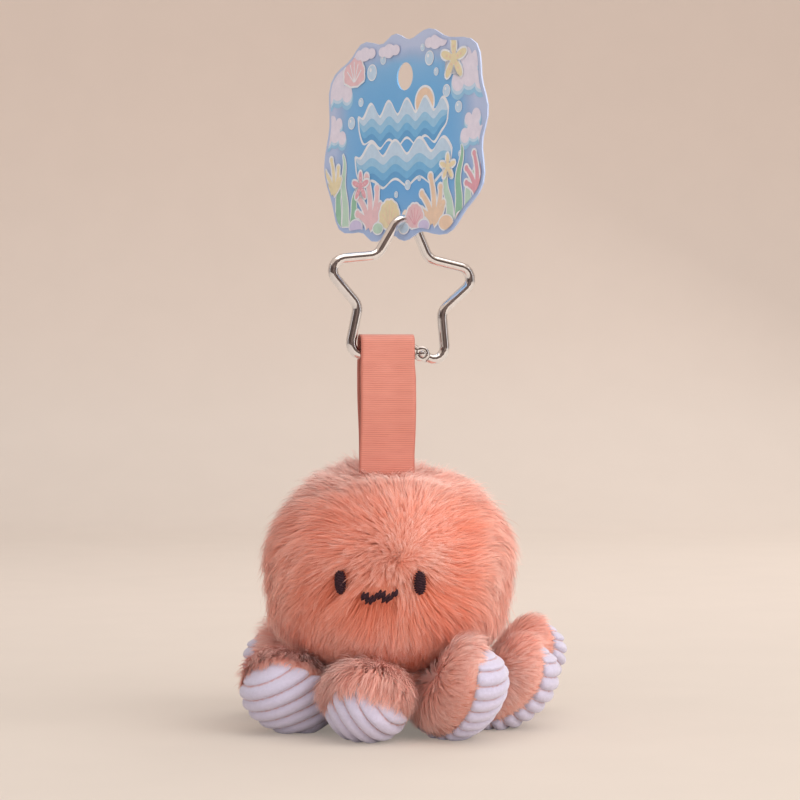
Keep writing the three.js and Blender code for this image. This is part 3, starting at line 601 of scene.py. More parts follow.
WHORL_SPOT = turn(WHORL, UP, -FACE_YAW)


def comb_head(place, normal):
    """Brushed away from a whorl on the forehead, longer and flatter with the distance."""
    away = place - HEAD - WHORL_SPOT
    distance = np.linalg.norm(away, axis=1)
    # Each way's length is its weight against the others
    outward = unit(away) * 22
    down = smooth_step(distance, 10, 60)[:, None] * np.array([0, 0, -24.0])
    swirl = np.cross(normal, unit(away)) * (6 * np.exp(-distance / 10))[:, None]
    tousled = np.random.default_rng(SEED).normal(0, 9, place.shape) * np.exp(-(distance / 8) ** 2)[:, None]
    one_way = np.array([-12.0, 0, 17.0])
    core = smooth_step(distance, 8, 0)[:, None]
    way = laid(outward * (1 - core) + core * one_way + down + swirl + tousled, normal)
    crown = smooth_step(place[:, 2] - HEAD[2], 19, 28)
    under = smooth_step(HEAD[2] - place[:, 2], 6, 30)
    # Before the ribbon's foot the fur parts to both sides and is shorter
    band = turn(place - RIBBON_FOOT, UP, -RIBBON_YAW)
    beside = smooth_step(np.abs(band[:, 0]), 21, 8) * smooth_step(band[:, 1], 1, -3) * crown
    parted = columns(band[:, 0] / 9, 0 * beside - 0.12, 0 * beside)
    way = laid(way * (1 - beside[:, None]) + turn(parted, UP, RIBBON_YAW) * beside[:, None], normal)
    length = (6 + 9 * smooth_step(distance, 3, 26)) * (1 - 0.62 * under) * (1 - 0.58 * beside)
    length = length + 2.5 * crown * (1 - beside)
    lift = np.radians(58 - 34 * smooth_step(distance, 3, 20) + 34 * crown)
    return way, length, lift, 44 - 26 * under


def over_features(path):
    """Strands that would lie over an eye or the mouth."""
    local = turn(path - HEAD, UP, FACE_YAW)
    front = local[..., 1] < -20
    hit = np.zeros(path.shape[0], bool)
    for side in (-1, 1):
        x = (local[..., 0] - side * EYE_SPACING / 2) / (EYE_WIDTH / 2 + EYE_MARGIN)
        z = (local[..., 2] + EYE_BELOW_WIDEST) / (EYE_HEIGHT / 2)
        hit |= ((x * x + z * z < 1) & front).any(1)
    x = local[..., 0] / (MOUTH_WIDTH / 2 + MOUTH_MARGIN[0])
    z = (local[..., 2] + MOUTH_BELOW_WIDEST) / (MOUTH_DEPTH / 2 + MOUTH_MARGIN[1])
    return hit | ((np.abs(x) < 1) & (np.abs(z) < 1) & front).any(1)


def through_ribbon(path):
    """Strands that would cross the ribbon, or stand before it well above its foot."""
    local = turn(path - RIBBON_FOOT, UP, -RIBBON_YAW)
    u, v, height = local[..., 0], local[..., 1], local[..., 2]
    half = RIBBON_CLOTH + 0.2 + RIBBON_INSIDE * smooth_step(height, 2, 20)
    beside = np.abs(u) < RIBBON_WIDTH / 2 + 0.2
    crossing = beside & (np.abs(v) < half) & (height > 0.5)
    before = beside & (v < 0) & (v > -10) & (height > 4.5)
    return (crossing | before).any(1)


def head_fur(skin, material):
    """Long fur in eight sectors: paler round the whorl, painted light on crown and cheeks."""
    rng = np.random.default_rng(SEED)
    place, normal = sample_surface(skin, HEAD_SAMPLES, rng)
    keep = place[:, 2] > HEAD[2] - HEAD_DROP + 0.5
    place, normal = place[keep], normal[keep]
    path, along, tone, width = grow(place, normal, comb_head, rng, **HEAD_PILE)
    fine = np.concatenate([path, (path[:, 1:] + path[:, :-1]) / 2], axis=1)
    hit = over_features(fine) & (rng.random(len(path)) < CLEARED) | through_ribbon(fine)
    angle = np.degrees(np.arctan2(place[:, 1] - HEAD[1], place[:, 0] - HEAD[0]))
    group = np.floor((angle + 22.5) % 360 / 45)
    thin = np.exp(-(np.linalg.norm(place - (HEAD + WHORL_SPOT), axis=1) / 9) ** 2)
    # Painted light: the crown and the sides are paler, the right side most, as if lit from above and the
    # right.
    crown = smooth_step(place[:, 2] - HEAD[2], 12, 28)
    beside = place[:, 0] - HEAD[0]
    painted_side_light = np.maximum(smooth_step(beside, 16, 38), 0.5 * smooth_step(-beside, 18, 36))
    pale = 0.10 + 0.30 * thin + np.maximum(0.42 * crown, 0.30 * painted_side_light)
    tone = np.clip(tone - 0.04 + 0.12 * thin + np.maximum(0.36 * crown, 0.28 * painted_side_light), 0, 1)
    pieces = []
    for i, part in enumerate(HEAD_PARTS):
        chosen = np.flatnonzero((group == i) & ~hit)[:HEAD_STRANDS]
        pieces.append(strand_object(f"head_fur_{part}", path[chosen], along[chosen], normal[chosen],
                                    tone[chosen], width[chosen], rng, material, pale[chosen]))
    return pieces


# Arms


def arm_path(arm, lift):
    """The arc that the arm's middle follows from the seam, and the short leg after it."""
    azimuth = math.radians(arm["azimuth"])
    out = np.array([math.cos(azimuth), math.sin(azimuth), 0])
    side = np.array([-out[1], out[0], 0])
    descent, curl, lean = (math.radians(v) for v in (ARM_DESCENT, arm["curl"], arm["lean"]))
    start = out * math.cos(descent) - UP * math.sin(descent)
    end = (out * math.cos(curl) + side * math.sin(curl) * math.sin(lean)
           + UP * math.sin(curl) * math.cos(lean))
    root = out * (SEAM_RADIUS + 0.3) + UP * (lift - HEAD_DROP)
    bend = math.acos(float(start @ end))
    inward = unit(end - start * math.cos(bend))
    radius = ARM_BEND_RADIUS + arm["reach"]
    return dict(root=root, start=start, inward=inward, side=side, turn=bend, radius=radius,
                twist=math.radians(arm["twist"]), length=radius * bend + ARM_LEG)


def arm_rings(path, shares, angles, inset, drop):
    """Loops round the arm, as many as shares, each with as many points as angles."""
    shares = np.asarray(shares, float)
    distance = shares * path["length"]
    angle = np.minimum(path["turn"], distance / path["radius"])[:, None]
    start, inward, radius = path["start"], path["inward"], path["radius"]
    along = start * np.cos(angle) + inward * np.sin(angle)
    centre = (path["root"] + start * radius * np.sin(angle) + inward * radius * (1 - np.cos(angle))
              + along * (distance[:, None] - angle * radius))
    across = unit(path["side"] - along * (along @ path["side"])[:, None])
    swell = smooth_step(shares, 0, ARM_SWELL)
    spin = path["twist"] * swell
    across = across * np.cos(spin)[:, None] + np.cross(along, across) * np.sin(spin)[:, None]
    back = np.cross(along, across)
    width = (ARM_ROOT_WIDTH + (ARM_WIDTH - ARM_ROOT_WIDTH) * swell) / ARM_WIDTH
    cap = np.minimum(1, (1 - shares) * path["length"] / ARM_CAP)
    full = (width * np.sqrt(np.maximum(0, 1 - (1 - cap) ** 2)))[:, None]
    inset = np.broadcast_to(np.asarray(inset, float), (len(shares), len(angles)))
    shrink = inset * np.minimum(1, full)
    depth = np.where(np.sin(angles) > 0, ARM_RISE, ARM_DROP)
    flat = np.maximum(0, full * ARM_WIDTH / 2 - shrink) * np.cos(angles)
    tall = np.maximum(0, full * depth - shrink) * np.sin(angles) - drop
    return centre[:, None] + across[:, None] * flat[..., None] + back[:, None] * tall[..., None]


def placed_arm(arm):
    """The arm's path, at the height where its sole meets the ground, and its number of ribs."""
    level = arm_path(arm, 0)
    ribs = round((level["length"] + level["turn"] * ARM_DROP) / RIB_PITCH)
    coarse = arm_rings(level, np.linspace(0, 1, ribs + 1), np.arange(1, 9) * math.pi / 4, 0, 0)
    return arm_path(arm, GROUND - FOOT_FLAT - coarse[..., 2].min()), ribs


def arm_mesh(name, rings, floor, material, attributes=None):
    rings[..., 2] = np.maximum(rings[..., 2], floor)
    corners, sizes = loft_faces(*rings.shape[:2])
    return mesh_object(name, HEAD + rings.reshape(-1, 3), corners, sizes, material, attributes)


def arm_skin(number, path, material):
    angles = full_turn(56)
    shares = 1 - (1 - np.linspace(0, 0.997, 44)) ** 1.5
    sunk = 2.2 + 1.6 * np.clip(np.sin(angles), 0, 1)
    return arm_mesh(f"arm_{number}_skin", arm_rings(path, shares, angles, sunk, 0), GROUND + 1.2, material)


def arm_pad(number, path, ribs, material, rib_way):
    """The ribbed sole: one rounded welt after another, its edges turned in at the seam."""
    sweep = np.linspace(math.pi + SEAM_ANGLE, 2 * math.pi - SEAM_ANGLE, 110 if rib_way else 50)
    angles = np.concatenate([[sweep[0] - 0.03], sweep, [sweep[-1] + 0.03]])
    shares = 1 - (1 - np.linspace(0, 0.9985, ribs * 13)) ** 1.35
    count = (shares * ribs)[:, None] + 0 * angles
    if rib_way:
        count = arm_rings(path, shares, angles, 0, SEAM_GAP) @ unit(np.array(rib_way)) / RIB_PITCH
    hollow = np.abs(2 * (count % 1) - 1) ** 2.4
    from_middle, edge = np.abs(angles - 1.5 * math.pi), math.pi / 2 - SEAM_ANGLE
    turned_in = 3.0 * (from_middle > edge + 0.01) + 0.9 * np.exp(-np.abs(from_middle - edge) / 0.05)
    inset = RIB_DEPTH * hollow + turned_in[None] - 0.35
    rings = arm_rings(path, shares, angles, inset, SEAM_GAP)
    return arm_mesh(f"arm_{number}_sole", rings, GROUND, material, {"groove": hollow.ravel()})


def arm_fur(number, skin, path, material, mound):
    """Short fur over the back of the arm, brushed to its end and out over the seam."""
    rng = np.random.default_rng(SEED + number)
    place, normal = sample_surface(skin, ARM_STRANDS * 2, rng)
    steps = np.linspace(0, 1, 60)
    spine = arm_rings(path, steps, np.array([0.0, math.pi]), 0, 0).mean(1) + HEAD
    nearest = np.argmin(((place[:, None] - spine[None]) ** 2).sum(-1), axis=1)
    ends = arm_rings(path, steps, np.array([0.0, math.pi / 2]), 0, 0) + HEAD
    across = unit(ends[:, 0] - spine)[nearest]
    back = unit(ends[:, 1] - spine)[nearest]
    rim = place - spine[nearest]
    angle = np.arctan2((rim * back).sum(1), (rim * across).sum(1))
    over = SEAM_ANGLE - 0.06
    furry = ((angle > -over) | (angle < over - math.pi)) & (place[:, 2] > HEAD[2] + GROUND + 2)
    place, normal, across, back, angle = (
        values[furry][:ARM_STRANDS] for values in (place, normal, across, back, angle))
    ahead = unit(np.cross(across, back))
    near_tip = 47    # of the 60 steps
    whorl = spine[near_tip] + unit(ends[near_tip, 1] - spine[near_tip]) * ARM_RISE

    def comb(root, out):
        spread = root - whorl
        near = np.linalg.norm(spread, axis=1)
        way = laid(unit(spread) * (0.9 * smooth_step(near, 0, 6))[:, None] + ahead * 0.5, out)
        rim = smooth_step(np.abs(np.cos(angle)), 0.75, 1.0)
        upward = smooth_step(out[:, 2], 0.1, 0.9)
        length = 5.2 + 3.6 * smooth_step(near, 1, 11) + (2.0 + mound) * upward
        length = length * (1 - 0.48 * rim) + 0.8 * max(mound, 0) * rim
        lift = np.radians(37 - 9 * smooth_step(near, 1, 9) + (6 + 4 * mound) * upward - 15 * rim)
        return way, length, lift, np.full(len(root), 16.0)

    strands, along, tone, width = grow(place, normal, comb, rng, **ARM_PILE)
    strands[..., 2] = np.maximum(strands[..., 2], HEAD[2] + GROUND + 0.2)
    # Painted light: the arm fur is paler than the head's, to lift the shade that falls on the arms.
    tone = np.clip(tone * 0.7 + 0.38, 0, 1)
    return strand_object(f"arm_{number}_fur", strands, along, normal, tone, width, rng, material,
                         np.full(len(tone), 0.54))


# Face


def stitch_tubes(name, threads, radius, material):
    """Short threads, each a tapered round tube over three or more places."""
    angles = full_turn(8)
    points, corners, sizes = [], [], []
    for ends, out in threads:
        start = sum(len(p) for p in points)
        way = unit(np.gradient(ends, axis=0))
        across = unit(np.cross(way, out))
        out = np.cross(across, way)
        taper = radius * np.sqrt(np.clip(1 - np.linspace(-0.93, 0.93, len(ends)) ** 4, 0, 1))
        ring = (ends[:, None] + taper[:, None, None] * (np.cos(angles)[None, :, None] * across[:, None]
                + np.sin(angles)[None, :, None] * out[:, None]))
        points.append(ring.reshape(-1, 3))
        c, n = loft_faces(len(ends), len(angles))
        corners.append(c + start)
        sizes.append(n)
    return mesh_object(name, np.concatenate(points), np.concatenate(corners), np.concatenate(sizes),
                       material)


def eye(name, side, material):
    """A filled oval of satin stitch: slanting threads laid over each other, highest in the middle."""
    rows = 9
    t = np.linspace(-1, 1, 7)
    threads = []
    for layer, slant in ((0, 0.35), (1, -0.35)):
        for i in range(rows):
            level = (2 * (i + 0.5 * layer) / rows) - 1 + 0.03
            if abs(level) >= 0.98:
                continue
            round_off = math.sqrt(1 - level * level)
            half = EYE_WIDTH / 2 * round_off
            x = side * EYE_SPACING / 2 + half * t
            z = -EYE_BELOW_WIDEST + level * (EYE_HEIGHT / 2 - 0.3) + slant * half * t * 1.3
            lift = 0.6 + 0.35 * layer + 1.1 * (1 - t * t) * round_off
            threads.append(on_face(x, z, lift[:, None]))
    return stitch_tubes(name, threads, EYE_THREAD, material)


def mouth(material):
    """A shallow double curve of short slanting stitches."""
    count = 17
    t = np.linspace(-1, 1, 5)
    threads = []
    for i in range(count):
        share = 2 * i / (count - 1) - 1
        x = MOUTH_WIDTH / 2 * share
        z = MOUTH_DEPTH * 0.36 * math.cos(2 * math.pi * share) - MOUTH_BELOW_WIDEST - 0.6 + 0.5 * share
        size = 1.45 - 0.35 * share ** 4
        lean = 0.9 if i % 2 else 0.3
        lift = 0.9 + 1.2 * (1 - t * t) + 0.25 * (i % 2)
        threads.append(on_face(x + lean * size * t, z + size * t, lift[:, None]))
    return stitch_tubes("mouth_stitches", threads, MOUTH_THREAD, material)


# Ribbon


def ribbon_band(material):
    """Two layers of one band: up from the crown, over the gate's wire and down again."""
    inside = RIBBON_INSIDE + RIBBON_CLOTH / 2
    fold = RIBBON_LENGTH - 0.35 - inside - 0.1
    seam = 2.2
    half_seam = RIBBON_CLOTH / 2 + 0.05
    open_to = fold - 18
    rise = np.linspace(-RIBBON_SEWN, seam, 12)
    t = np.linspace(0, 1, 15)[1:]
    opened = half_seam + (inside - half_seam) * smooth_step(t, 0, 1)
    a = np.linspace(math.pi, math.pi / 2, 10)[1:]
    front = np.concatenate([
        columns(np.full(12, -half_seam), rise),
        columns(-opened, seam + (open_to - seam) * t),
        columns(np.full(7, -inside), np.linspace(open_to, fold, 8)[1:]),
        columns(inside * np.cos(a), fold + inside * np.sin(a)),
    ])
    path = np.concatenate([front, (front * [-1, 1])[::-1][1:]])
    way = unit(np.gradient(path, axis=0))
    out = columns(-way[:, 1], way[:, 0])
    outer, inner = path + out * RIBBON_CLOTH / 2, path - out * RIBBON_CLOTH / 2
    across = np.array([math.cos(RIBBON_YAW), math.sin(RIBBON_YAW), 0])
    depth = np.array([-math.sin(RIBBON_YAW), math.cos(RIBBON_YAW), 0])

    def spot(where, share):
        """The points of the path at a share of the half width, from -1 at the left to 1."""
        height = where[:, 1]
        free = smooth_step(height, 2, 14) * (1 - smooth_step(height, fold - 10, fold))
        bow = 0.35 * free * (1 - share * share) + 0.15 * free * math.sin(5 * share)
        edge = 1 - 0.10 * max(0.0, abs(share) - 0.93) / 0.07
        y = where[:, 0] * edge + bow * np.sign(where[:, 0]) * -1
        x = share * RIBBON_WIDTH / 2 + 0.12 * np.sin(height / 7) * free
        x -= PIN_CLEARANCE * max(0.0, share - 0.8) / 0.2 * smooth_step(height, 32, 38)
        return RIBBON_FOOT + x[:, None] * across + y[:, None] * depth + height[:, None] * UP

    shares = np.linspace(-1, 1, 23)
    layers = [spot(outer, c) for c in shares] + [spot(inner, c) for c in shares[::-1]]
    edge = np.tile(np.abs(shares) > 0.94, 2 * len(path))
    corners, sizes = loft_faces(len(path), len(layers))
    obj = mesh_object("ribbon_band", np.stack(layers, 1).reshape(-1, 3), corners, sizes, material,
                      {"edge": edge})
    return obj, float(np.linalg.norm(np.diff(path, axis=0), axis=1).sum())


def base_cloth(material):
    """The round cloth under the head, domed a little and drawn in at its seam."""
    around, rings = 64, 12
    share = np.linspace(1, 0.04, rings)
    angles = full_turn(around)
    low = -BASE_DROP - BASE_THICKNESS
    z = np.where(share > 0.95, low + 1.4, low + 0.9 * (share - 0.4) ** 2)
    pucker = 0.25 * np.sin(16 * angles)[None] * (share[:, None] > 0.8)
    radius = (SEAM_RADIUS * share)[:, None]
    bottom = columns(radius * np.cos(angles), radius * np.sin(angles), z[:, None] + pucker)
    top = bottom[:1].copy()
    top[..., 2] = -BASE_DROP
    points = HEAD + np.concatenate([top, bottom]).reshape(-1, 3)
    corners, sizes = loft_faces(rings + 1, around)
    return mesh_object("base_cloth", points, corners, sizes, material, {"groove": np.zeros(len(points))})


# Print on the card: flat shapes in the card's own plane, from the peg hole

WHITE = (0.93, 0.95, 1.0)
ICE = (0.62, 0.80, 0.98)
FROTH = (0.90, 0.84, 0.96)
SKY = (0.36, 0.66, 0.92)
DEEP_SKY = (0.20, 0.54, 0.88)
SEA = (0.13, 0.42, 0.78)
PINK = (0.93, 0.62, 0.66)
ROSE = (0.85, 0.42, 0.50)
SAND = (0.92, 0.80, 0.52)
LEAF = (0.33, 0.62, 0.45)
MINT = (0.58, 0.80, 0.66)
LILAC = (0.70, 0.64, 0.90)
PEACH = (0.95, 0.70, 0.52)
HALO = 0.7    # white border of the larger motifs
CREST = 5.2    # height of the waves


def card_reach(angle):
    """How far the card's die-cut edge is from its middle, in a direction before the slant."""
    c, sn = np.abs(np.cos(angle)), np.abs(np.sin(angle))
    wave = TAG_WAVE_DEPTH * np.sin(TAG_WAVES * angle + TAG_WAVE_DRIFT * np.sin(3 * angle))
    wide, tall = TAG_HALF[0] + wave, TAG_HALF[1] + wave
    return ((c / wide) ** TAG_SQUARENESS + (sn / tall) ** TAG_SQUARENESS) ** (-1 / TAG_SQUARENESS)


def kept_on_card(outline):
    """An outline with whatever lies beyond the print's margin cut back to it."""
    v = outline[:, 1] - TAG_MIDDLE[1]
    u = outline[:, 0] - TAG_MIDDLE[0] - TAG_SLANT * v
    angle, size = np.arctan2(v, u), np.hypot(u, v)
    share = np.minimum(1, (card_reach(angle) - PRINT_MARGIN) / np.maximum(size, 1e-6))
    return columns((u + TAG_SLANT * v) * share + TAG_MIDDLE[0], v * share + TAG_MIDDLE[1])


class Print:
    """Collects flat inked shapes, each laid a hair over the one before."""

    def __init__(self):
        self.points, self.sizes, self.inks = [], [], []

    def shape(self, outline, colour, halo=0.0):
        if halo:
            way = np.roll(outline, -1, 0) - np.roll(outline, 1, 0)
            turned = (outline * np.roll(way, 1, 1) * [1, -1]).sum()
            self.shape(outline + unit(way[:, ::-1] * [1, -1]) * halo * np.sign(turned), WHITE)
        outline = kept_on_card(outline)
        lift = TAG_THICKNESS / 2 + PRINT_LIFT + INK_STEP * (len(self.sizes) + 1)
        self.points.append(outline[:, :1] * TAG_ALONG + outline[:, 1:2] * UP + lift * TAG_FRONT)
        self.sizes.append(len(outline))
        self.inks.append(np.tile((*colour, 1.0), (len(outline), 1)))

    def build(self, name, material):
        corners = np.arange(sum(self.sizes))
        obj = mesh_object(name, np.concatenate(self.points), corners, self.sizes, material)
        layer = obj.data.color_attributes.new("ink", "FLOAT_COLOR", "POINT")
        layer.data.foreach_set("color", np.concatenate(self.inks).ravel())
        obj.data.polygons.foreach_set("use_smooth", np.zeros(len(self.sizes), bool))
        return obj


def ray(u, v, reach, angle):
    """The point, or points, at a distance from u, v in a direction."""
    return columns(u + reach * np.cos(angle), v + reach * np.sin(angle))


def disc(u, v, radius, steps=28, flat=1.0):
    a = full_turn(steps)
    return columns(u + radius * np.cos(a), v + radius * flat * np.sin(a))


def strip(line, widths):
    """A ribbon-like outline of given widths along a line of points."""
    way = unit(np.gradient(line, axis=0))
    out = columns(-way[:, 1], way[:, 0]) * (np.asarray(widths)[:, None] / 2)
    return np.concatenate([line + out, (line - out)[::-1]])


def bubble(page, u, v, radius):
    page.shape(disc(u, v, radius), WHITE)
    page.shape(disc(u, v, radius * 0.86), ICE)
    page.shape(disc(u - radius * 0.3, v + radius * 0.32, radius * 0.24, 14), WHITE)


def seaweed(page, u, v, height, lean, colour, width):
    t = np.linspace(0, 1, 22)
    line = columns(u + lean * t * t * height + 1.3 * np.sin(t * 9) * t, v + height * t)
    page.shape(strip(line, width * (1 - t) ** 0.6 + 0.35), colour, 0.5)


def shell(page, u, v, radius, colour, rib):
    a = np.linspace(math.radians(-20), math.radians(200), 45)
    edge = radius * (1 + 0.06 * np.abs(np.sin(a * 6)))
    foot = [[u - radius * 0.34, v - radius * 0.62], [u + radius * 0.34, v - radius * 0.62]]
    page.shape(np.concatenate([ray(u, v, edge, a), foot]), colour, HALO)
    t = np.linspace(0.05, 0.88, 6)
    for angle in (35, 62, 90, 118, 145):
        c, s = math.cos(math.radians(angle)), math.sin(math.radians(angle))
        line = columns(u + radius * c * t, v - radius * 0.45 + radius * 1.4 * s * t)
        page.shape(strip(line, np.full(6, radius * 0.07)), rib)


def starfish(page, u, v, radius, colour, dots):
    a = full_turn(70)
    reach = radius * (0.62 + 0.38 * np.cos(5 * (a - math.pi / 2)))
    page.shape(ray(u, v, reach, a), colour, HALO)
    for k in range(5):
        b = math.pi / 2 + k * 2 * math.pi / 5
        for share in (0.3, 0.55):
            page.shape(disc(*ray(u, v, radius * share, b), radius * 0.07, 10), dots)


def coral(page, u, v, size, colour):
    t = np.linspace(0, 1, 8)
    curve = 0.12 * size * np.sin(t * 3)
    for halo, tone in ((HALO, WHITE), (0.0, colour)):
        for angle, reach in ((70, 1.0), (95, 1.25), (122, 0.95), (48, 0.7), (145, 0.62)):
            b = math.radians(angle)
            line = columns(u + size * reach * np.cos(b) * t + curve, v + size * reach * np.sin(b) * t)
            page.shape(strip(line, size * (0.22 - 0.08 * t) + 2 * halo), tone)
            page.shape(disc(*line[-1], size * 0.095 + halo, 12), tone)


def foam(page, u, v, size, curl):
    """A puff of spray: overlapping rounds, bluish below and white above."""
    rounds = ((0, 0, 1.0), (-0.85, -0.35, 0.72), (0.85, -0.30, 0.75), (0.25, 0.75, 0.7), (-0.5, 0.6, 0.6))
    for shift, spread, colour in ((-0.28, 0.10, SKY), (-0.12, 0.04, ICE), (0.0, 0.0, FROTH)):
        for du, dv, r in rounds:
            radius = size * (r * 0.62 + spread)
            page.shape(disc(u + curl * du * size, v + (dv + shift) * size, radius, 26), colour)


def wave_band(page, v, half, colour, crests, shift, thick):
    t = np.linspace(-1, 1, 90)
    u = TAG_MIDDLE[0] + half * t
    crest = CREST * (0.5 - 0.5 * np.cos(2 * math.pi * crests * (t + shift) / 2)) ** 0.8
    taper = np.sqrt(np.maximum(0, 1 - t ** 8))
    upper = columns(u, v + crest * taper)
    lower = columns(u, v - thick * taper + 0.55 * crest * taper)
    page.shape(np.concatenate([upper, lower[::-1]]), colour)


def card_print(material):
    """A made-up seabed border and rolling waves, in the card's colours."""
    page = Print()
    page.shape(disc(12, -10, 5.2), PEACH, 0.8)
    for v, crests, shift, half in ((-15.5, 5, 0.1, 27), (-29.5, 4, 0.4, 29)):
        wave_band(page, v + 2.9, half + 0.9, WHITE, crests, shift, 12.2)
        for colour, thick in ((SEA, 10.4), (DEEP_SKY, 8.2), (SKY, 5.6), (ICE, 2.6)):
            wave_band(page, v + 2.0, half, colour, crests, shift, thick)
    for u, v, size, curl in ((-42, -1, 7.0, 1), (-44, -17, 5.6, -1), (38, -2, 7.6, -1),
                             (40.5, -21, 5.8, 1)):
        foam(page, u, v, size, curl)
    for u, v, r in ((-20, 3, 3.0), (-13, 7, 1.8), (-27, -7, 1.6), (15, 5, 2.6), (25, -7, 2.2), (11, 9, 1.3),
                    (19, 0, 1.4), (32, -13, 2.0), (-33, -14, 2.3), (2, -38, 1.8), (-5, -41, 1.2),
                    (9, -36, 1.1), (-30, 8, 1.3), (33, -29, 1.2)):
        bubble(page, u, v, r)
    for u, h, lean, colour in ((-42, 20, 0.20, LEAF), (-37, 26, -0.08, MINT), (-32, 17, 0.28, LEAF),
                               (27, 19, -0.28, MINT), (32, 25, 0.05, LEAF), (37, 18, 0.22, MINT)):
        seaweed(page, u, -51, h, lean, colour, 3.8)
    for u, v, size, colour in ((-22, -52, 14.5, PINK), (17, -52, 13, PEACH), (42, -43, 11, ROSE),
                               (-45, -39, 10, SAND)):
        coral(page, u, v, size, colour)
    shell(page, -9, -49, 6.0, SAND, PEACH)
    shell(page, 6.5, -50, 5.0, PINK, ROSE)
    shell(page, -31, 3.0, 6.2, PINK, WHITE)
    starfish(page, 29.5, 3.5, 7.6, SAND, PEACH)
    starfish(page, -27, -37, 5.4, ROSE, PINK)
    starfish(page, 26, -33, 4.6, SAND, PEACH)
    for u, v, r, colour in ((-30, -51.5, 4.0, LILAC), (-16, -52.5, 3.0, MINT), (12, -52.5, 3.2, LILAC),
                            (25, -52, 4.0, PEACH), (0, -53, 2.8, ICE), (34, -50.5, 3.0, PINK)):
        page.shape(disc(u, v, r, 24, 0.62), colour, 0.5)
    for u, v in ((-9, 9.6), (19, 10.2), (-24, 9.8)):
        for du, r in ((-3.8, 2.6), (0, 3.6), (4.0, 2.7)):
            page.shape(disc(u + du, v, r, 22, 0.7), FROTH)
    return page.build("card_print", material)


# Build

fur = fur_material()
backing = under_fur_material()
corduroy = corduroy_material()
satin = satin_material()
thread = thread_material()
chrome = chrome_material()


def dress(node, material):
    """Gives a CAD node its own material."""
    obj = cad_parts[node]
    obj.data.materials.clear()
    obj.data.materials.append(material)
    return obj


def smooth(obj):
    """Joins the corners of neighbouring faces and shades each face's corners mostly by the large faces."""
    obj.data.shade_smooth()
    weld = obj.modifiers.new("weld", "WELD")
    weld.merge_threshold = 0.01 * MM
    even = obj.modifiers.new("even", "WEIGHTED_NORMAL")
    even.mode = "FACE_AREA_WITH_ANGLE"
    even.weight = 50


dress("hang_tag", card_material())
for node in ("star_ring_body", "gate", "gate_pivot_pin"):
    smooth(dress(node, chrome))
smooth(dress("gate_spring", spring_material()))

pictures = card_print(ink_material())
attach(pictures, "hang_tag")

skin = head_skin(backing)
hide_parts("head_cover", "head_stuffing")
head_pieces = [skin, *head_fur(skin, fur)]
for piece in head_pieces:
    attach(piece, "plush")

for number, arm in enumerate(ARMS, 1):
    path, ribs = placed_arm(arm)
    cover = arm_skin(number, path, backing)
    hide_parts(f"arm_{number}_sleeve", f"arm_{number}_wadding")
    pad = arm_pad(number, path, ribs, corduroy, arm.get("rib_way"))
    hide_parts(f"arm_{number}_pad")
    hair = arm_fur(number, cover, path, fur, arm.get("mound", 0.0))
    for piece in (cover, pad, hair):
        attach(piece, "plush")

base = base_cloth(corduroy)
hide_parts("base_panel")
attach(base, "plush")

for name, piece in (("left_eye", eye("left_eye_stitches", -1, thread)),
                    ("right_eye", eye("right_eye_stitches", 1, thread)),
                    ("mouth", mouth(thread))):
    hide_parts(name)
    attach(piece, "plush")

band, band_length = ribbon_band(satin)
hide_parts("ribbon_loop", "ribbon_sewn_end")
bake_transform(band)


# Stage: camera, floor that sweeps up into a backdrop, and soft light from the right

scene = bpy.context.scene
scene.view_settings.view_transform = "Standard"

lens = bpy.data.cameras.new("camera")
lens.sensor_width = SENSOR_WIDTH
lens.lens = SENSOR_WIDTH * FOCAL_PIXELS / PICTURE_PIXELS
lens.clip_end = 20
camera = bpy.data.objects.new("camera", lens)
camera.location = [v * MM for v in CAMERA_AT]
camera.rotation_euler = (math.radians(90 + CAMERA_PITCH), 0, 0)
scene.collection.objects.link(camera)
scene.camera = camera

# Backdrop: it stands farther away than the camera of any other view, in millimetres. Its tones go by
# the distance back plus the height, because it is floor first and then wall.
FLOOR = GROUND + HEAD[2]
SWEEP_START = 900.0
SWEEP_RADIUS = 300.0
BACKDROP_TOP = 1500.0
BACKDROP_HALF = 2600.0
TONE_FROM, TONE_TO = -400.0, 1400.0
# The tones are painted light and shade: paler on the floor behind the object, darker high on the wall.
TONES = ((-200, (0.79, 0.70, 0.62)), (200, (0.85, 0.75, 0.67)), (674, (0.84, 0.745, 0.665)),
         (937, (0.845, 0.74, 0.66)), (1083, (0.82, 0.70, 0.617)), (1350, (0.765, 0.635, 0.553)))
GLOW = 0.30    # the share of the paper's colour that the camera sees without light


def seen_directly(tree):
    """1 for what the camera sees, straight or mirrored in the plating."""
    path = tree.node("LightPath")
    return tree.calc("MAXIMUM", path.outputs["Is Camera Ray"], path.outputs["Is Glossy Ray"])


def backdrop_material():
    look = Look("cream_paper", {"Roughness": 0.9, "Specular IOR Level": 0.1})
    across, back, up = look.axes(look.spot())
    span = (TONE_TO - TONE_FROM) * MM
    run = look.calc("MULTIPLY_ADD", look.calc("ADD", back, up), 1 / span, -TONE_FROM * MM / span)
    tone = look.ramp(run, *[((s - TONE_FROM) / (TONE_TO - TONE_FROM), c) for s, c in TONES])
    mottle = look.ramp(look.noise(30.0, 2.0), (0.3, grey(0.985)), (0.7, grey(1.0)))
    across = look.calc("MULTIPLY_ADD", across, 1.1, 0.5)
    shade = look.ramp(across, (0.1, (0.92, 0.91, 0.905)), (0.9, (0.88, 0.87, 0.865)))
    colour = look.multiply(look.multiply(tone, shade), mottle)
    glow = look.calc("MULTIPLY", seen_directly(look), GLOW)
    look.paint(look.mix(glow, colour, grey(0.0)))
    look.paint(colour, "Emission Color")
    look.paint(glow, "Emission Strength")
    return look.material


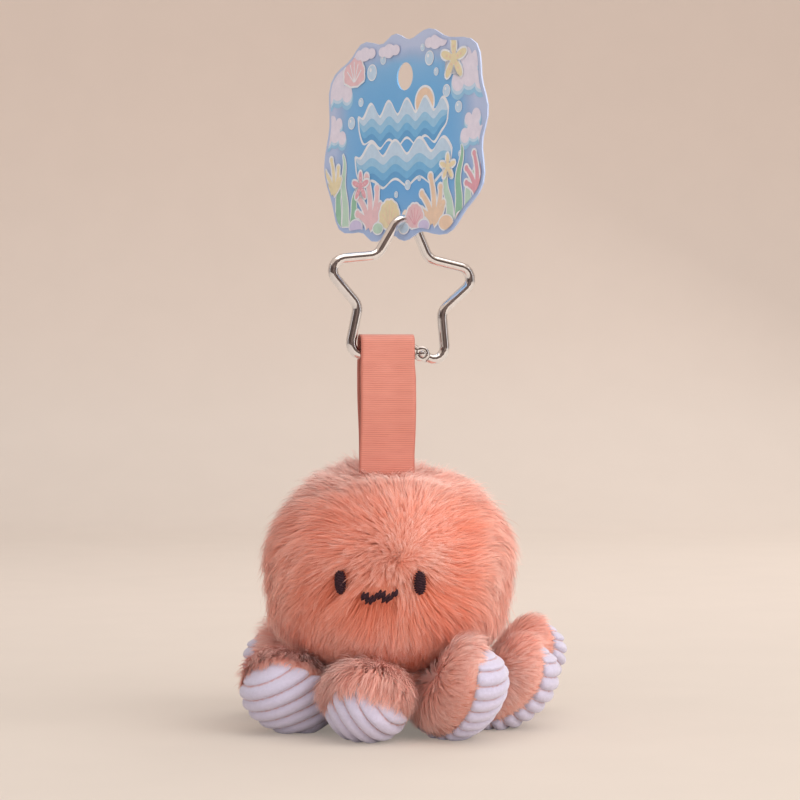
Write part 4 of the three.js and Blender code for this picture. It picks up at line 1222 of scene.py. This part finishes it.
def backdrop():
    a = np.linspace(-math.pi / 2, 0, 24)
    curve = columns(SWEEP_START + SWEEP_RADIUS * np.cos(a), FLOOR + SWEEP_RADIUS * (1 + np.sin(a)))
    profile = np.concatenate([[[-BACKDROP_HALF, FLOOR]], curve,
                              [[SWEEP_START + SWEEP_RADIUS, BACKDROP_TOP]]])
    points = np.array([[x, y, z] for y, z in profile for x in (-BACKDROP_HALF, BACKDROP_HALF)])
    quads = np.array([[2 * i, 2 * i + 1, 2 * i + 3, 2 * i + 2] for i in range(len(profile) - 1)])
    obj = mesh_object("backdrop", points, quads.ravel(), np.full(len(quads), 4), backdrop_material())


def lamp(name, at, size, power, colour, in_gloss=True, tall=None, target=(0, 0, -150)):
    """An area lamp: places in millimetres, size and height in metres, power in watts."""
    light = bpy.data.lights.new(name, "AREA")
    light.size = size
    if tall:
        light.shape = "RECTANGLE"
        light.size_y = tall
    light.energy = power
    light.color = colour
    obj = bpy.data.objects.new(name, light)
    obj.location = [v * MM for v in at]
    way = np.array(target, float) - np.array(at, float)
    yaw = math.atan2(way[1], way[0])
    pitch = math.atan2(math.hypot(way[0], way[1]), -way[2])
    obj.rotation_euler = (pitch, 0, yaw - math.pi / 2)
    obj.visible_glossy = in_gloss
    obj.visible_camera = False
    scene.collection.objects.link(obj)


def dark_card(name, at, width, height, yaw):
    """A dark board that only the plated wire mirrors, with the uneven tones of a real room."""
    look = Look(name, {})
    room = look.noise(1.6, 2.0)
    look.paint(look.ramp(room, (0.35, (0.07, 0.045, 0.040)), (0.65, (0.34, 0.27, 0.25))))
    points = np.array([[x * width, 0, z * height] for x, z in ((-0.5, -0.5), (0.5, -0.5), (0.5, 0.5),
                                                               (-0.5, 0.5))])
    points = turn(points, UP, math.radians(yaw)) + np.array(at, float)
    obj = mesh_object(name, points, [0, 1, 2, 3], [4], look.material)
    for ray_kind in ("camera", "diffuse", "shadow", "transmission", "volume_scatter"):
        setattr(obj, f"visible_{ray_kind}", False)


backdrop()
lamp("key", (760, -520, 400), 1.0, 7.0, (1.0, 0.985, 0.965), in_gloss=False)
lamp("fill", (-650, -950, 0), 0.9, 2.9, (0.90, 0.93, 1.0), in_gloss=False)
lamp("top", (100, -100, 750), 1.0, 3.4, (1.0, 0.98, 0.96))
lamp("front", (550, -1250, -20), 1.0, 5.4, (1.0, 0.97, 0.95), in_gloss=False)
lamp("rim", (450, 750, 400), 0.8, 3.4, (1.0, 0.97, 0.94), in_gloss=False)
for side, x, y, power in (("right", 1300, -300, 1.6), ("left", -1300, -250, 1.0)):
    lamp(f"strip_{side}", (x, y, 60), 0.25, power, (1.0, 1.0, 1.0), tall=1.5, target=(0, 0, -60))
dark_card("dark_board", (0, -1400, -60), 3400, 2400, 0)
dark_card("dark_left", (-1700, -500, -60), 1800, 2000, 90)
dark_card("dark_right", (1700, -500, -60), 1800, 2000, 90)

# World: even light on the object, and cream paper where the camera sees past the backdrop
world = bpy.data.worlds.new("studio")
tree = NodeTree(world)
soft = tree.nodes["Background"]
soft.inputs["Color"].default_value = (1.0, 0.95, 0.92, 1)
soft.inputs["Strength"].default_value = 0.46
paper = tree.node("Background", Strength=1.0, Color=(0.70, 0.57, 0.48, 1))
either = tree.node("MixShader")
for socket, value in zip(either.inputs, (seen_directly(tree), soft.outputs[0], paper.outputs[0])):
    tree.feed(socket, value)
tree.feed(tree.nodes["World Output"].inputs["Surface"], either.outputs[0])
scene.world = world
